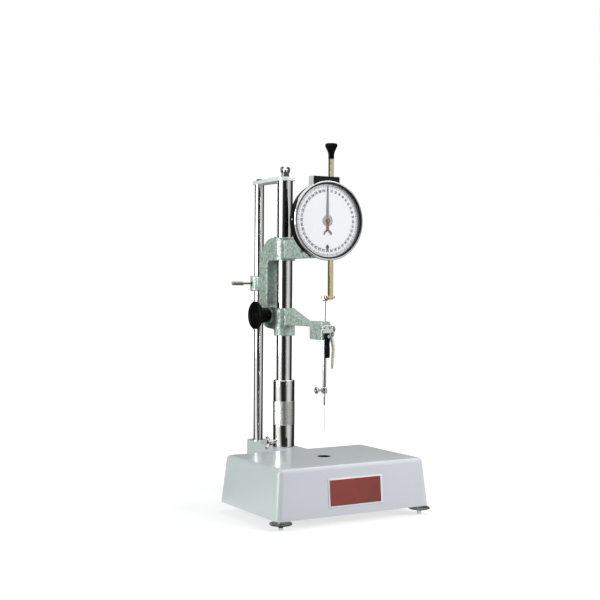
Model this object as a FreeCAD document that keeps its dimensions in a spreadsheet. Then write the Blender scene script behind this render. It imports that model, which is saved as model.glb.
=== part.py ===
import FreeCAD, Part
import math
import os
import re
import Sketcher

# Bench penetrometer: a hollow cast base on three levelling screws, a racked column with a
# carriage that winds up and down it, a dial gauge, and a needle plunger held by a clutch.
# Millimetres.  Origin at floor level under the middle of the whole instrument; +X right,
# +Y back, +Z up.  The needle stands over the middle of the base.

SIZES = {
    # base casting
    "base_width": 266.0, "base_depth": 188.0, "base_height": 73.0, "base_taper": 12.0,
    "base_wall": 6.0, "base_roof": 8.0, "base_corner": 8.5, "base_shoulder": 7.5,
    "corner_web": 26.0, "tongue_radius": 18.5, "tongue_core": 36.0, "locating_bore": 11.0,
    "column_seat": 30.0, "rod_seat": 25.0,
    # levelling screws
    "foot_gap": 14.0, "foot_inset": 11.0, "foot_radius": 3.5, "foot_height": 8.0,
    "stud_radius": 4.0, "stud_grip": 19.0, "wheel_radius": 16.5, "wheel_thick": 3.0,
    # mast
    "column_reach": 128.5, "rod_pitch": 90.0, "column_radius": 12.7, "rod_radius": 7.95,
    "sleeve_radius": 17.4, "sleeve_height": 109.0, "knurl_low": 36.0, "knurl_high": 74.5,
    "knurl_proud": 0.4, "mast_height": 436.0, "plate_thick": 6.0,
    "plate_front": 15.5, "plate_rear": 11.5, "mast_stud": 5.0, "mast_stud_rise": 12.0,
    "rod_screw": 2.95, "rod_screw_head": 5.5, "rod_screw_rise": 3.8, "rod_screw_deep": 15.0,
    "wing_screw_rise": 8.0, "wing_screw_radius": 3.0, "wing_span": 11.0,
    # feed drive
    "feed_height": 215.0, "feed_module": 1.0, "feed_teeth": 16.0, "feed_face": 12.0,
    "feed_shaft": 4.0, "knob_flutes": 12.0, "knob_flute": 3.5, "feed_below": 26.0, "feed_above": 31.0, "feed_flat": 0.7,
    "knob_radius": 23.2, "knob_thick": 6.0, "knob_hub": 12.5, "knob_reach": 47.0,
    # carriage casting
    "collar_radius": 17.5, "collar_above": 12.0, "collar_below": 33.0, "window": 78.0,
    "upper_collar": 38.0, "web_half": 17.0, "web_front": 29.0, "web_back": 58.5,
    "web_foot": 22.0, "shoulder_round": 48.0, "foot_round": 36.0, "window_round": 7.0,
    "bush_wall": 2.3, "bush_length": 20.0, "boss_reach": 19.5, "boss_radius": 12.0,
    "ear_height": 52.3, "ear_radius": 14.7, "ear_half": 13.0, "ear_neck": 9.0,
    "upper_arm_half": 10.0, "upper_arm_end": 18.0, "upper_arm_low": 3.0,
    "upper_arm_deep": 29.0, "lug_thick": 6.0, "lug_reach": 62.0,
    "lower_arm_half": 8.0, "lower_arm_top": 6.3, "lower_arm_thick": 9.0, "arm_slope_end": 57.0,
    "arm_slope_start": 107.0, "block_front": 5.0, "block_back": 34.0, "block_drop": 35.0,
    # dial gauge
    "dial_rise": 149.5, "case_back": 1.5, "case_radius": 58.5, "case_deep": 14.0,
    "case_wall": 2.5, "case_floor": 2.0, "bezel_stand": 2.9, "bezel_front": 17.0,
    "bezel_lap": 1.5, "glass_thick": 1.6, "face_lift": 10.0, "face_thick": 1.0,
    "housing_left": 31.0, "housing_right": 16.0, "housing_rise": 6.5, "housing_front": 16.0,
    "housing_deep": 26.0,
    "rack_pitch": 2.0, "gauge_teeth": 20.0, "gauge_face": 5.0, "gauge_rod_side": 5.5,
    "gauge_rod_ahead": 7.3, "gauge_rod_half": 3.2, "rod_below": 63.5,
    "rod_above": 37.5, "gauge_racks": 32.0, "gauge_racks_below": 6.0,
    "gauge_knob_high": 24.0, "gauge_knob_radius": 9.5, "gauge_stem": 4.6,
    "foot_disc": 5.5, "foot_thick": 4.0, "foot_rise": 2.0,
    "hand_thick": 0.8, "hand_short": 3.0, "hand_root": 2.4, "hand_hub": 3.4,
    "spring_wire": 0.7, "spring_radius": 2.3, "spring_start": 4.3,
    "moon_far": 20.8, "moon_radius": 6.5, "moon_thick": 1.7, "flange_half": 14.0,
    "flange_thick": 3.5, "flange_rise": 16.0,
    # plunger, chuck and needle
    "cap_radius": 4.5, "cap_thick": 3.7, "cap_gap": 0.3, "plunger_radius": 1.6,
    "plunger_low": 3.0, "plunger_step": 35.0, "chuck_top": 107.0, "chuck_radius": 4.75,
    "chuck_height": 10.0, "chuck_screw_rise": 5.5, "chuck_screw_reach": 15.5,
    "ferrule_radius": 1.6, "ferrule_length": 34.0, "needle_radius": 0.5,
    "needle_exposed": 43.5, "needle_grip": 8.0, "needle_taper": 6.35,
    # release clutch
    "clutch_height": 18.0, "clutch_thick": 3.0, "grip_half": 3.2, "grip_deep": 6.5,
    "grip_length": 38.0, "lever_half": 3.2, "lever_x": 12.0, "lever_drop": 8.0,
    "lever_length": 54.0, "lever_lug": 1.6, "shoe_radius": 2.9, "shoe_stem": 1.4, "shoe_reach": 14.6,
    "shoe_nut": 5.5, "shoe_nut_thick": 2.2, "pin_radius": 1.2,
    # name plate
    "plate_width": 94.5, "plate_height": 43.0, "plate_sheet": 1.0, "plate_drop": 39.8,
    # fits
    "running": 0.05, "slack": 0.25,
}

# Places worked out from the sizes, written as expressions of them.
PLACES = {
    "base_top": "foot_gap + base_height",
    "front_reach": "base_depth / 2 - foot_inset + wheel_radius",
    "rear_reach": "column_reach + rod_pitch + tongue_radius",
    "needle_y": "(front_reach - rear_reach) / 2",
    "column_y": "needle_y + column_reach",
    "rod_y": "column_y + rod_pitch",
    "base_back": "needle_y + base_depth / 2",
    "base_front": "needle_y - base_depth / 2",
    "foot_x": "base_width / 2 - foot_inset",
    "front_foot_y": "base_front + foot_inset",
    "plate_z": "base_top + mast_height",
    "feed_z": "base_top + feed_height",
    "feed_pitch": "feed_module * feed_teeth / 2",
    "rack_tip": "column_radius - feed_flat",
    "rack_line": "rack_tip - feed_module * 0.9",
    "feed_y": "rack_line + feed_pitch",
    "feed_tip": "feed_pitch + feed_module",
    "feed_step": "feed_module * 3.14159265",
    "window_top": "collar_above + window",
    "carriage_top": "window_top + upper_collar",
    "ear_y": "rod_pitch",
    "dial_z": "feed_z + dial_rise",
    "bezel_radius": "case_radius + bezel_stand",
    "bezel_lip": "case_radius - bezel_lap",
    "housing_top": "bezel_radius + housing_rise",
    "gauge_rod_low": "case_radius + rod_below",
    "gauge_rod_high": "case_radius + rod_above",
    "gauge_pitch": "gauge_teeth * rack_pitch / 6.2831853",
    "gauge_addendum": "rack_pitch * 0.3",
    "dial_x": "gauge_rod_side - gauge_rod_half + gauge_addendum - gauge_pitch",
    "gauge_rod_y": "needle_y - gauge_rod_ahead",
    "case_y": "needle_y - case_back",
    "block_top": "feed_z - lower_arm_top",
    "clutch_z": "feed_z - clutch_height",
    "foot_z": "dial_z - gauge_rod_low + foot_rise",
    "cap_z": "foot_z - cap_gap - cap_thick",
    "chuck_z": "base_top + chuck_top - chuck_height",
    "ferrule_z": "chuck_z + chuck_height + 6 - ferrule_length",
    "tip_z": "ferrule_z - needle_exposed",
    "draft": "atan(base_taper / base_height)",
}

os.makedirs("parts", exist_ok=True)
doc = FreeCAD.newDocument("penetrometer")
sheet = doc.addObject("Spreadsheet::Sheet", "dims")
for row, (alias, number) in enumerate(SIZES.items(), start=1):
    sheet.set(f"A{row}", alias)
    sheet.set(f"B{row}", str(number))
    sheet.setAlias(f"B{row}", alias)
doc.recompute()

NODES = []
FRONT = FreeCAD.Rotation(FreeCAD.Vector(1, 0, 0), 90)      # local z towards the front, -Y
LEFT = FreeCAD.Rotation(FreeCAD.Vector(0, 1, 0), -90)      # local z towards the left, -X
RIGHT = FreeCAD.Rotation(FreeCAD.Vector(0, 1, 0), 90)      # local z towards the right, +X
UPRIGHT = FreeCAD.Rotation()


def expression(text):
    """The text with each size and place name turned into sheet references."""
    def swap(match):
        word = match.group(0)
        if word in PLACES:
            return "(" + expression(PLACES[word]) + ")"
        return "dims." + word if word in SIZES else word
    return re.sub(r"[a-z_]+", swap, str(text))


def value(text):
    """The number that an expression of the sizes has now."""
    found = sheet.evalExpression(expression(text))
    return float(getattr(found, "Value", found))


def bind(thing, prop, text):
    """Tie one property to an expression of the sizes."""
    thing.setExpression(prop, expression(text))


def place(thing, at, turn=UPRIGHT):
    """Set a piece's Placement, its three coordinates bound to expressions."""
    base = FreeCAD.Vector(*[value(text) for text in at])
    thing.Placement = FreeCAD.Placement(base, turn)
    for axis, text in zip("xyz", at):
        bind(thing, "Placement.Base." + axis, text)


def new_body(label, at=("0", "0", "0"), turn=UPRIGHT):
    """A PartDesign body that will be written as one node."""
    body = doc.addObject("PartDesign::Body", label)
    body.Label = label
    place(body, at, turn)
    NODES.append(body)
    return body


def sketch_on(body, plane, lift="0"):
    """A sketch on one of the body's own origin planes, raised by lift along its normal."""
    sketch = body.newObject("Sketcher::SketchObject", body.Name + "_sketch")
    planes = body.Origin.OriginFeatures
    support = next(item for item in planes if item.Role == plane)
    sketch.AttachmentSupport = (support, [""])
    sketch.MapMode = "FlatFace"
    bind(sketch, ".AttachmentOffset.Base.z", lift)
    return sketch


def pin(sketch, geometry, point, corner):
    """Hold one point of a sketch at an (x, y) pair of expressions."""
    for kind, text in zip(("DistanceX", "DistanceY"), corner):
        held = Sketcher.Constraint(kind, geometry, point, value(text))
        index = sketch.addConstraint(held)
        bind(sketch, f"Constraints[{index}]", text)


def polygon(sketch, corners):
    """A closed outline of straight lines through the corners."""
    spots = [FreeCAD.Vector(value(x), value(y), 0) for x, y in corners]
    first = sketch.GeometryCount
    count = len(spots)
    for i in range(count):
        sketch.addGeometry(Part.LineSegment(spots[i], spots[(i + 1) % count]))
    for i in range(count):
        after = first + (i + 1) % count
        sketch.addConstraint(Sketcher.Constraint("Coincident", first + i, 2, after, 1))
    for i, corner in enumerate(corners):
        pin(sketch, first + i, 1, corner)
    return sketch


def circle(sketch, centre, radius):
    """A full circle with its centre and radius bound."""
    middle = FreeCAD.Vector(value(centre[0]), value(centre[1]), 0)
    index = sketch.addGeometry(Part.Circle(middle, FreeCAD.Vector(0, 0, 1), value(radius)))
    pin(sketch, index, 3, centre)
    held = sketch.addConstraint(Sketcher.Constraint("Radius", index, value(radius)))
    bind(sketch, f"Constraints[{held}]", radius)
    return sketch


def box_corners(left, right, low, high):
    """The four corners of an upright rectangle."""
    return [(left, low), (right, low), (right, high), (left, high)]


def settle(made):
    """Recompute, and stop if the feature did not come out."""
    doc.recompute()
    if "Invalid" in made.State or "Error" in made.State or made.Shape.isNull():
        raise RuntimeError(made.Name + " failed")
    return made


def feature(body, kind, sketch, length, both=False, back=False):
    """A Pad or Pocket of a sketch; both makes it symmetric, back reverses it."""
    made = body.newObject("PartDesign::" + kind, body.Name + "_" + kind.lower())
    made.Profile = sketch
    made.SideType = "Symmetric" if both else "One side"
    made.Reversed = back
    bind(made, "Length", length)
    return settle(made)


def pad(body, sketch, length, both=False, back=False):
    return feature(body, "Pad", sketch, length, both, back)


def pocket(body, sketch, length, both=False, back=False):
    """A Pocket that must take material away."""
    before = body.Shape.Volume
    made = feature(body, "Pocket", sketch, length, both, back)
    if not body.Shape.Volume < before - 1e-6:
        raise RuntimeError(body.Label + ": a pocket cuts nothing")
    return made


def bore(body, plane, centre, radius, lift, length, both=False, back=False):
    """A round hole from a plane raised by lift."""
    hole = circle(sketch_on(body, plane, lift), centre, radius)
    return pocket(body, hole, length, both, back)


def loft(body, kind, lower, upper):
    """An additive or subtractive loft between two sketches."""
    made = body.newObject("PartDesign::" + kind, body.Name + "_loft")
    made.Profile = lower
    made.Sections = [upper]
    made.Ruled = True
    return settle(made)


def round_edges(body, radius, wanted):
    """Fillet the edges for which wanted(edge) is true."""
    names = []
    for index, edge in enumerate(body.Shape.Edges, start=1):
        if wanted(edge):
            names.append(f"Edge{index}")
    solid = body.Tip
    made = body.newObject("PartDesign::Fillet", body.Name + "_fillet")
    made.Base = (solid, names)
    bind(made, "Radius", radius)
    return settle(made)


def turned(label, profile, at, turn=UPRIGHT):
    """A turned piece: a closed (radius, height) profile revolved about its own axis."""
    body = new_body(label, at, turn)
    sketch = polygon(sketch_on(body, "XZ_Plane"), profile)
    made = body.newObject("PartDesign::Revolution", label + "_turned")
    made.Profile = sketch
    made.ReferenceAxis = (sketch, ["V_Axis"])
    made.Angle = 360
    settle(made)
    return body


def ring(label, inner, outer, length, at, turn=UPRIGHT):
    """A plain bush or washer."""
    profile = [(inner, "0"), (outer, "0"), (outer, length), (inner, length)]
    return turned(label, profile, at, turn)


def pattern(body, kind, original, axis, occurrences, length=None):
    """A linear or polar pattern of one feature."""
    made = body.newObject("PartDesign::" + kind, body.Name + "_pattern")
    made.Originals = [original]
    if kind == "LinearPattern":
        made.Direction = axis
        bind(made, "Length", length)
    else:
        made.Axis = axis
        made.Angle = 360
    bind(made, "Occurrences", occurrences)
    body.Tip = made
    return settle(made)


def axis_of(body, role):
    """One of the body's own origin axes, as a pattern's direction."""
    found = next(item for item in body.Origin.OriginFeatures if item.Role == role)
    return (found, [""])


def on_z(edge):
    """True for an upright straight edge."""
    box = edge.BoundBox
    return box.ZLength > 0.9 * edge.Length


# ---------------------------------------------------------------- base

def base_section(inset, z, web):
    """The base's outline at a height above its lower edge, its front corners cut off."""
    wide = f"base_width / 2 - {inset} - base_taper * ({z}) / base_height"
    deep = f"base_depth / 2 - {inset} - base_taper * ({z}) / base_height"
    return [(f"-({wide})", deep), (f"-({wide})", f"-({deep}) + {web}"),
            (f"-({wide}) + {web}", f"-({deep})"), (f"{wide} - {web}", f"-({deep})"),
            (wide, f"-({deep}) + {web}"), (wide, deep)]


def make_base():
    body = new_body("base_casting", ("0", "needle_y", "foot_gap"))
    front = sketch_on(body, "XZ_Plane")
    wide = "base_width / 2"
    polygon(front, [
        (f"-{wide}", "0"), (wide, "0"), (f"{wide} - base_taper", "base_height"),
        (f"base_taper - {wide}", "base_height")])
    pad(body, front, "base_depth", both=True)
    for side in ("", "-"):
        wedge = polygon(sketch_on(body, "YZ_Plane"), [
            (side + "(base_depth / 2)", "0"),
            (side + "(base_depth / 2 - base_taper)", "base_height"),
            (side + "(base_depth / 2)", "base_height")])
        pocket(body, wedge, "base_width", both=True)
    round_edges(body, "base_corner", on_z)
    top = value("base_top") - 0.5
    round_edges(body, "base_shoulder", lambda edge: edge.BoundBox.ZMin > top)

    # rear tongue that carries the column and the guide rod
    start = "base_depth / 2 - base_taper - base_shoulder - 1"
    end = "column_reach + rod_pitch"
    tongue = sketch_on(body, "XY_Plane")
    polygon(tongue, box_corners("-tongue_radius", "tongue_radius", start, end))
    pad(body, tongue, "base_height")
    nose = circle(sketch_on(body, "XY_Plane"), ("0", end), "tongue_radius")
    pad(body, nose, "base_height")

    # open underside, with solid webs at the two front corners for the screws
    roof = "base_height - base_roof"
    low = polygon(sketch_on(body, "XY_Plane"), base_section("base_wall", "0", "corner_web"))
    high = polygon(sketch_on(body, "XY_Plane", roof),
                   base_section("base_wall", roof, "corner_web"))
    loft(body, "SubtractiveLoft", low, high)
    core = sketch_on(body, "XY_Plane")
    half = "tongue_radius - base_wall"
    polygon(core, box_corners(f"-({half})", half, "base_depth / 2 + base_wall / 2",
                              f"{end} - tongue_radius"))
    pocket(body, core, "tongue_core", back=True)

    bore(body, "XY_Plane", ("0", "0"), "locating_bore", "base_height", "base_roof + 1")
    bore(body, "XY_Plane", ("0", "column_reach"), "column_radius + running", "base_height",
         "column_seat")
    bore(body, "XY_Plane", ("0", end), "rod_radius + running", "base_height", "rod_seat")
    for side in ("-foot_x", "foot_x"):
        bore(body, "XY_Plane", (side, "foot_inset - base_depth / 2"),
             "stud_radius + running", "0", "stud_grip + 3", back=True)
    bore(body, "XY_Plane", ("0", end), "stud_radius + running", "0", "stud_grip + 3",
         back=True)


def make_feet():
    spots = {"left": ("-foot_x", "front_foot_y"), "right": ("foot_x", "front_foot_y"),
             "rear": ("0", "rod_y")}
    for side, (x, y) in spots.items():
        reach = "foot_gap + stud_grip"
        turned("level_screw_" + side, [
            ("0", "0"), ("foot_radius - 1", "0"), ("foot_radius", "1"),
            ("foot_radius", "foot_height"), ("stud_radius", "foot_height"),
            ("stud_radius", reach), ("0", reach)], (x, y, "0"))
        turned("level_wheel_" + side, [
            ("stud_radius", "0"), ("wheel_radius", "0"), ("wheel_radius", "wheel_thick - 0.6"),
            ("wheel_radius - 0.6", "wheel_thick"), ("stud_radius", "wheel_thick")],
            (x, y, "foot_height"))


# ---------------------------------------------------------------- mast

def make_column():
    label = "column"
    low = "-column_seat"
    high = "mast_height"
    body = turned(label, [
        ("0", low), ("column_radius - 1", low), ("column_radius", f"{low} + 1"),
        ("column_radius", high), ("mast_stud", high),
        ("mast_stud", f"{high} + plate_thick + mast_stud_rise"),
        ("0", f"{high} + plate_thick + mast_stud_rise")], ("0", "column_y", "base_top"))

    # the rack is milled in a shallow flat on the back
    bottom = "feed_height - feed_below * feed_step - feed_module * 2"
    top = "feed_height + feed_above * feed_step + feed_module * 2"
    flat = sketch_on(body, "YZ_Plane")
    polygon(flat, box_corners("rack_tip", "column_radius + 1", bottom, top))
    pocket(body, flat, "column_radius * 2", both=True)
    root = "rack_line - feed_module * 1.25"
    first = "feed_height - feed_below * feed_step"
    gap = sketch_on(body, "YZ_Plane")
    narrow = "feed_step / 4 - feed_module * 1.25 * 0.364"
    broad = "feed_step / 4 + feed_module * 1.4 * 0.364"
    outer = "rack_line + feed_module * 1.4"
    polygon(gap, [(root, f"{first} - ({narrow})"), (outer, f"{first} - ({broad})"),
                  (outer, f"{first} + {broad}"), (root, f"{first} + {narrow}")])
    tooth = pocket(body, gap, "column_radius * 2", both=True)
    pattern(body, "LinearPattern", tooth, axis_of(body, "Z_Axis"),
            "feed_below + feed_above + 1", "(feed_below + feed_above) * feed_step")


def make_mast():
    make_column()
    plain = "sleeve_radius - knurl_proud"
    sleeve = turned("column_sleeve", [
        ("column_radius + running", "0"), (plain, "0"), (plain, "knurl_low"),
        ("sleeve_radius", "knurl_low"), ("sleeve_radius", "knurl_high"),
        (plain, "knurl_high"), (plain, "sleeve_height - 1.5"),
        (f"{plain} - 1.5", "sleeve_height"), ("column_radius + running", "sleeve_height")],
        ("0", "column_y", "base_top"))
    bore(sleeve, "YZ_Plane", ("0", "wing_screw_rise"), "wing_screw_radius + running",
         "0", "sleeve_radius + 1", back=False)

    rod = turned("guide_rod", [
        ("0", "-rod_seat"), ("rod_radius - 1", "-rod_seat"), ("rod_radius", "1 - rod_seat"),
        ("rod_radius", "mast_height"), ("0", "mast_height")], ("0", "rod_y", "base_top"))
    bore(rod, "XY_Plane", ("0", "0"), "rod_screw + running", "mast_height",
         "rod_screw_deep - plate_thick + 3")

    plate = new_body("top_plate", ("0", "column_y", "plate_z"))
    link = polygon(sketch_on(plate, "XY_Plane"), [
        ("-plate_front", "0"), ("plate_front", "0"), ("plate_rear", "rod_pitch"),
        ("-plate_rear", "rod_pitch")])
    pad(plate, link, "plate_thick")
    pad(plate, circle(sketch_on(plate, "XY_Plane"), ("0", "0"), "plate_front"), "plate_thick")
    rear = circle(sketch_on(plate, "XY_Plane"), ("0", "rod_pitch"), "plate_rear")
    pad(plate, rear, "plate_thick")
    bore(plate, "XY_Plane", ("0", "0"), "mast_stud + running", "plate_thick",
         "plate_thick + 1")
    bore(plate, "XY_Plane", ("0", "rod_pitch"), "rod_screw + slack", "plate_thick",
         "plate_thick + 1")
    bore(plate, "YZ_Plane", ("0", "plate_thick / 2"), "1.55", "0", "plate_front + 1",
         back=True)

    screw = turned("rod_screw", [
        ("0", "-rod_screw_deep"), ("rod_screw", "-rod_screw_deep"), ("rod_screw", "0"),
        ("rod_screw_head", "0"), ("rod_screw_head", "rod_screw_rise - 1"),
        ("rod_screw_head - 1", "rod_screw_rise"), ("0", "rod_screw_rise")],
        ("0", "rod_y", "plate_z + plate_thick"))
    slot(screw, "rod_screw_head", "rod_screw_rise")
    grub = turned("plate_clamp_screw", [
        ("0", "mast_stud + 0.4"), ("1.5", "mast_stud + 0.4"), ("1.5", "plate_front"),
        ("2.7", "plate_front"), ("2.7", "plate_front + 1.6"), ("0", "plate_front + 1.6")],
        ("0", "column_y", "plate_z + plate_thick / 2"), RIGHT)
    slot(grub, "2.7", "plate_front + 1.6", "0.8")

    nut = turned("wing_nut", [
        ("mast_stud + running", "0"), ("7.4", "0"), ("7.4", "2.5"), ("6.2", "9.5"),
        ("mast_stud + running", "9.5")], ("0", "column_y", "plate_z + plate_thick"))
    for side in ("", "-"):
        ear = polygon(sketch_on(nut, "XZ_Plane"), [
            (side + "(mast_stud + 1)", "2.5"), (side + "(mast_stud + 3)", "2.5"),
            (side + "9.2", "12"), (side + "9.2", "18.2"), (side + "7.6", "20"),
            (side + "5.6", "19"), (side + "5.6", "9.2")])
        pad(nut, ear, "2.6", both=True)

    screw = turned("sleeve_wing_screw", [
        ("0", "column_radius + 0.1"), ("wing_screw_radius", "column_radius + 0.1"),
        ("wing_screw_radius", "sleeve_radius + 4.5"), ("5", "sleeve_radius + 4.5"),
        ("5", "sleeve_radius + 8"), ("4", "sleeve_radius + 12"),
        ("0", "sleeve_radius + 12")],
        ("0", "column_y", "base_top + wing_screw_rise"), LEFT)
    for side in ("", "-"):
        wing = polygon(sketch_on(screw, "XZ_Plane"), [
            ("0", "sleeve_radius + 8"), (side + "4.6", "sleeve_radius + 6"),
            (side + "(wing_span - 2)", "sleeve_radius + 11"),
            (side + "wing_span", "sleeve_radius + 16"),
            (side + "(wing_span - 2.5)", "sleeve_radius + 19.5"),
            (side + "(wing_span - 6)", "sleeve_radius + 17"),
            (side + "3", "sleeve_radius + 12"), ("0", "sleeve_radius + 12")])
        pad(screw, wing, "2.6", both=True)


def slot(body, radius, top, width="1.2"):
    """A screwdriver slot across a screw's head."""
    cut = sketch_on(body, "XY_Plane", top)
    polygon(cut, box_corners(f"-({radius}) - 1", f"{radius} + 1", f"-{width} / 2",
                             f"{width} / 2"))
    pocket(body, cut, "1")


# ---------------------------------------------------------------- carriage

def make_carriage_casting():
    """The C-shaped casting.  Local origin on the column's axis at the feed shaft's height."""
    body = new_body("carriage_casting", ("0", "column_y", "feed_z"))
    frame = sketch_on(body, "YZ_Plane")
    polygon(frame, [
        ("0", "carriage_top"), ("0", "window_top"), ("web_front", "window_top"),
        ("web_front", "collar_above"), ("0", "collar_above"), ("0", "-web_foot"),
        ("web_back", "-web_foot"), ("web_back", "carriage_top")])
    pad(body, frame, "web_half * 2", both=True)

    def across(edge, y, z):
        """True for the edge along X at a (y, z) spot of the frame."""
        middle = edge.CenterOfMass
        near = abs(middle.y - value("column_y") - value(y)) < 0.01
        level = abs(middle.z - value("feed_z") - value(z)) < 0.01
        return near and level and abs(middle.x) < 0.01 and edge.BoundBox.XLength > 1

    round_edges(body, "shoulder_round", lambda e: across(e, "web_back", "carriage_top"))
    round_edges(body, "foot_round", lambda e: across(e, "web_back", "-web_foot"))
    round_edges(body, "window_round", lambda e: across(e, "web_front", "window_top")
                or across(e, "web_front", "collar_above"))

    upper = circle(sketch_on(body, "XY_Plane", "window_top"), ("0", "0"), "collar_radius")
    pad(body, upper, "upper_collar")
    lower = circle(sketch_on(body, "XY_Plane", "-collar_below"), ("0", "0"), "collar_radius")
    pad(body, lower, "collar_below + collar_above")
    boss = circle(sketch_on(body, "YZ_Plane", "-boss_reach"), ("feed_y", "0"), "boss_radius")
    pad(body, boss, "boss_reach + web_half - 1")

    # ear on the guide rod
    ear = circle(sketch_on(body, "XY_Plane", "ear_height - ear_half"), ("0", "ear_y"),
                 "ear_radius")
    pad(body, ear, "ear_half * 2")
    neck = sketch_on(body, "XY_Plane", "ear_height - ear_half + 2")
    polygon(neck, box_corners("-ear_neck", "ear_neck", "web_back - 3", "ear_y"))
    pad(body, neck, "ear_half * 2 - 4")

    # upper arm, forked for the gauge's lug
    reach = "column_reach - upper_arm_end"
    arm = sketch_on(body, "XY_Plane", "window_top + upper_arm_low")
    polygon(arm, box_corners("-upper_arm_half", "upper_arm_half", f"-({reach})", "0"))
    pad(body, arm, "upper_arm_deep")
    fork = sketch_on(body, "XY_Plane", "window_top + upper_arm_low")
    half = "(lug_thick / 2 + running)"
    polygon(fork, box_corners(f"-{half}", half, f"-({reach}) - 1",
                              "lug_reach + 1 - column_reach"))
    pocket(body, fork, "upper_arm_deep", back=True)

    # lower arm and the block that guides the plunger
    front = "-(column_reach + block_front)"
    back = "block_back - column_reach"
    under = "-(lower_arm_top + lower_arm_thick)"
    arm = sketch_on(body, "YZ_Plane")
    polygon(arm, [
        ("0", under), ("0", "collar_above"), ("arm_slope_start - column_reach", "collar_above"),
        ("arm_slope_end - column_reach", "-lower_arm_top"), (front, "-lower_arm_top"),
        (front, "-block_drop"), (back, "-block_drop"), (back, under)])
    pad(body, arm, "lower_arm_half * 2", both=True)
    for y in ("-column_reach - lever_half - lever_lug / 2 - 0.2",
              "lever_half + lever_lug / 2 + 0.2 - column_reach"):
        ear = sketch_on(body, "XZ_Plane", f"-({y})")
        polygon(ear, [
            ("lower_arm_half - 1", "4 - clutch_height - lever_drop"),
            ("lower_arm_half - 1", "-4.5 - clutch_height - lever_drop"),
            ("lever_x + 2.6", "-3 - clutch_height - lever_drop"),
            ("lever_x + 2.6", "2.6 - clutch_height - lever_drop")])
        pad(body, ear, "lever_lug", both=True)
        bore(body, "XZ_Plane", ("lever_x", "-(clutch_height + lever_drop)"), "pin_radius",
             f"-({y})", "3", both=True)

    bore(body, "XY_Plane", ("0", "0"), "column_radius + slack", "carriage_top + 1",
         "carriage_top + collar_below + 2")
    seat = "column_radius + bush_wall"
    bore(body, "XY_Plane", ("0", "0"), seat, "carriage_top", "bush_length")
    bore(body, "XY_Plane", ("0", "0"), seat, "-collar_below", "bush_length", back=True)
    bore(body, "XY_Plane", ("0", "ear_y"), "rod_radius + bush_wall",
         "ear_height - ear_half", "ear_half * 2", back=True)
    # feed shaft: a cavity for the pinion from the left, a plain bearing on the right
    bore(body, "YZ_Plane", ("feed_y", "0"), "feed_tip + 0.6", "feed_face / 2 + 1",
         "feed_face / 2 + 2 + boss_reach")
    bore(body, "YZ_Plane", ("feed_y", "0"), "feed_shaft + running", "web_half - 3",
         "web_half")
    # plunger, clutch and lug holes
    bore(body, "XY_Plane", ("0", "-column_reach"), "plunger_low", "-block_drop",
         "block_drop", back=True)
    bore(body, "YZ_Plane", ("-column_reach", "-clutch_height"), "3.5", "0",
         "lower_arm_half + 1", back=True)
    for y, z in LUG_SCREWS:
        bore(body, "YZ_Plane", (f"{y} - column_reach", z), "1.6", "0",
             "upper_arm_half * 3", both=True)
    bore(body, "YZ_Plane", ("ear_y", "ear_height"), "1.8", "0", "ear_radius + 1")
    return body


LUG_SCREWS = (("52", "window_top + 15.4"), ("28.7", "window_top + 7.7"))


def make_bushes():
    inner = "column_radius + running"
    outer = "column_radius + bush_wall"
    ring("upper_bush", inner, outer, "bush_length",
         ("0", "column_y", "feed_z + carriage_top - bush_length"))
    ring("lower_bush", inner, outer, "bush_length",
         ("0", "column_y", "feed_z - collar_below"))
    ear = ring("guide_bush", "rod_radius + running", "rod_radius + bush_wall",
               "ear_half * 2", ("0", "rod_y", "feed_z + ear_height - ear_half"))
    bore(ear, "YZ_Plane", ("0", "ear_half"), "1.8", "0", "rod_radius + 4")
    inside = "column_radius + slack + 0.5"
    turned("feed_bush", [
        ("feed_shaft + running", inside), ("feed_tip + 0.6", inside),
        ("feed_tip + 0.6", "boss_reach"), ("feed_shaft + running", "boss_reach")],
        ("0", "column_y + feed_y", "feed_z"), LEFT)
    for label, z in (("upper_plunger_bush", "block_top - 8"),
                     ("lower_plunger_bush", "feed_z - block_drop")):
        ring(label, "plunger_radius + running", "plunger_low", "8", ("0", "needle_y", z))


def gear_blank(body, teeth, pitch, module, length, face_start):
    """Cut involute tooth gaps in a round blank; a tooth stays on the local +x axis."""
    count = round(value(teeth))
    pitch_radius = value(pitch)
    size = value(module)
    base_radius = pitch_radius * math.cos(math.radians(20))
    root = pitch_radius - 1.25 * size
    tip = pitch_radius + 1.2 * size
    backlash = 0.06 * size / pitch_radius

    def involute(radius):
        """Roll angle minus pressure angle of the involute at a radius."""
        slope = math.acos(min(1.0, base_radius / radius))
        return math.tan(slope) - slope

    def half_gap(radius):
        """Half the gap's angle at a radius."""
        reach = max(radius, base_radius)
        return (math.pi / 2 / count + backlash - involute(pitch_radius) + involute(reach))

    steps = [root] + [max(root, base_radius) + (tip - max(root, base_radius)) * i / 4
                      for i in range(5)]
    middle = math.pi / count
    flank = [(r, middle - half_gap(r)) for r in steps]
    other = [(r, middle + half_gap(r)) for r in reversed(steps)]
    outline = [FreeCAD.Vector(r * math.cos(a), r * math.sin(a), 0) for r, a in flank + other]
    sketch = sketch_on(body, "XY_Plane", face_start)
    for i in range(len(outline)):
        after = outline[(i + 1) % len(outline)]
        sketch.addGeometry(Part.LineSegment(outline[i], after))
    gap = pocket(body, sketch, length, back=True)
    pattern(body, "PolarPattern", gap, axis_of(body, "Z_Axis"), teeth)


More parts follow.
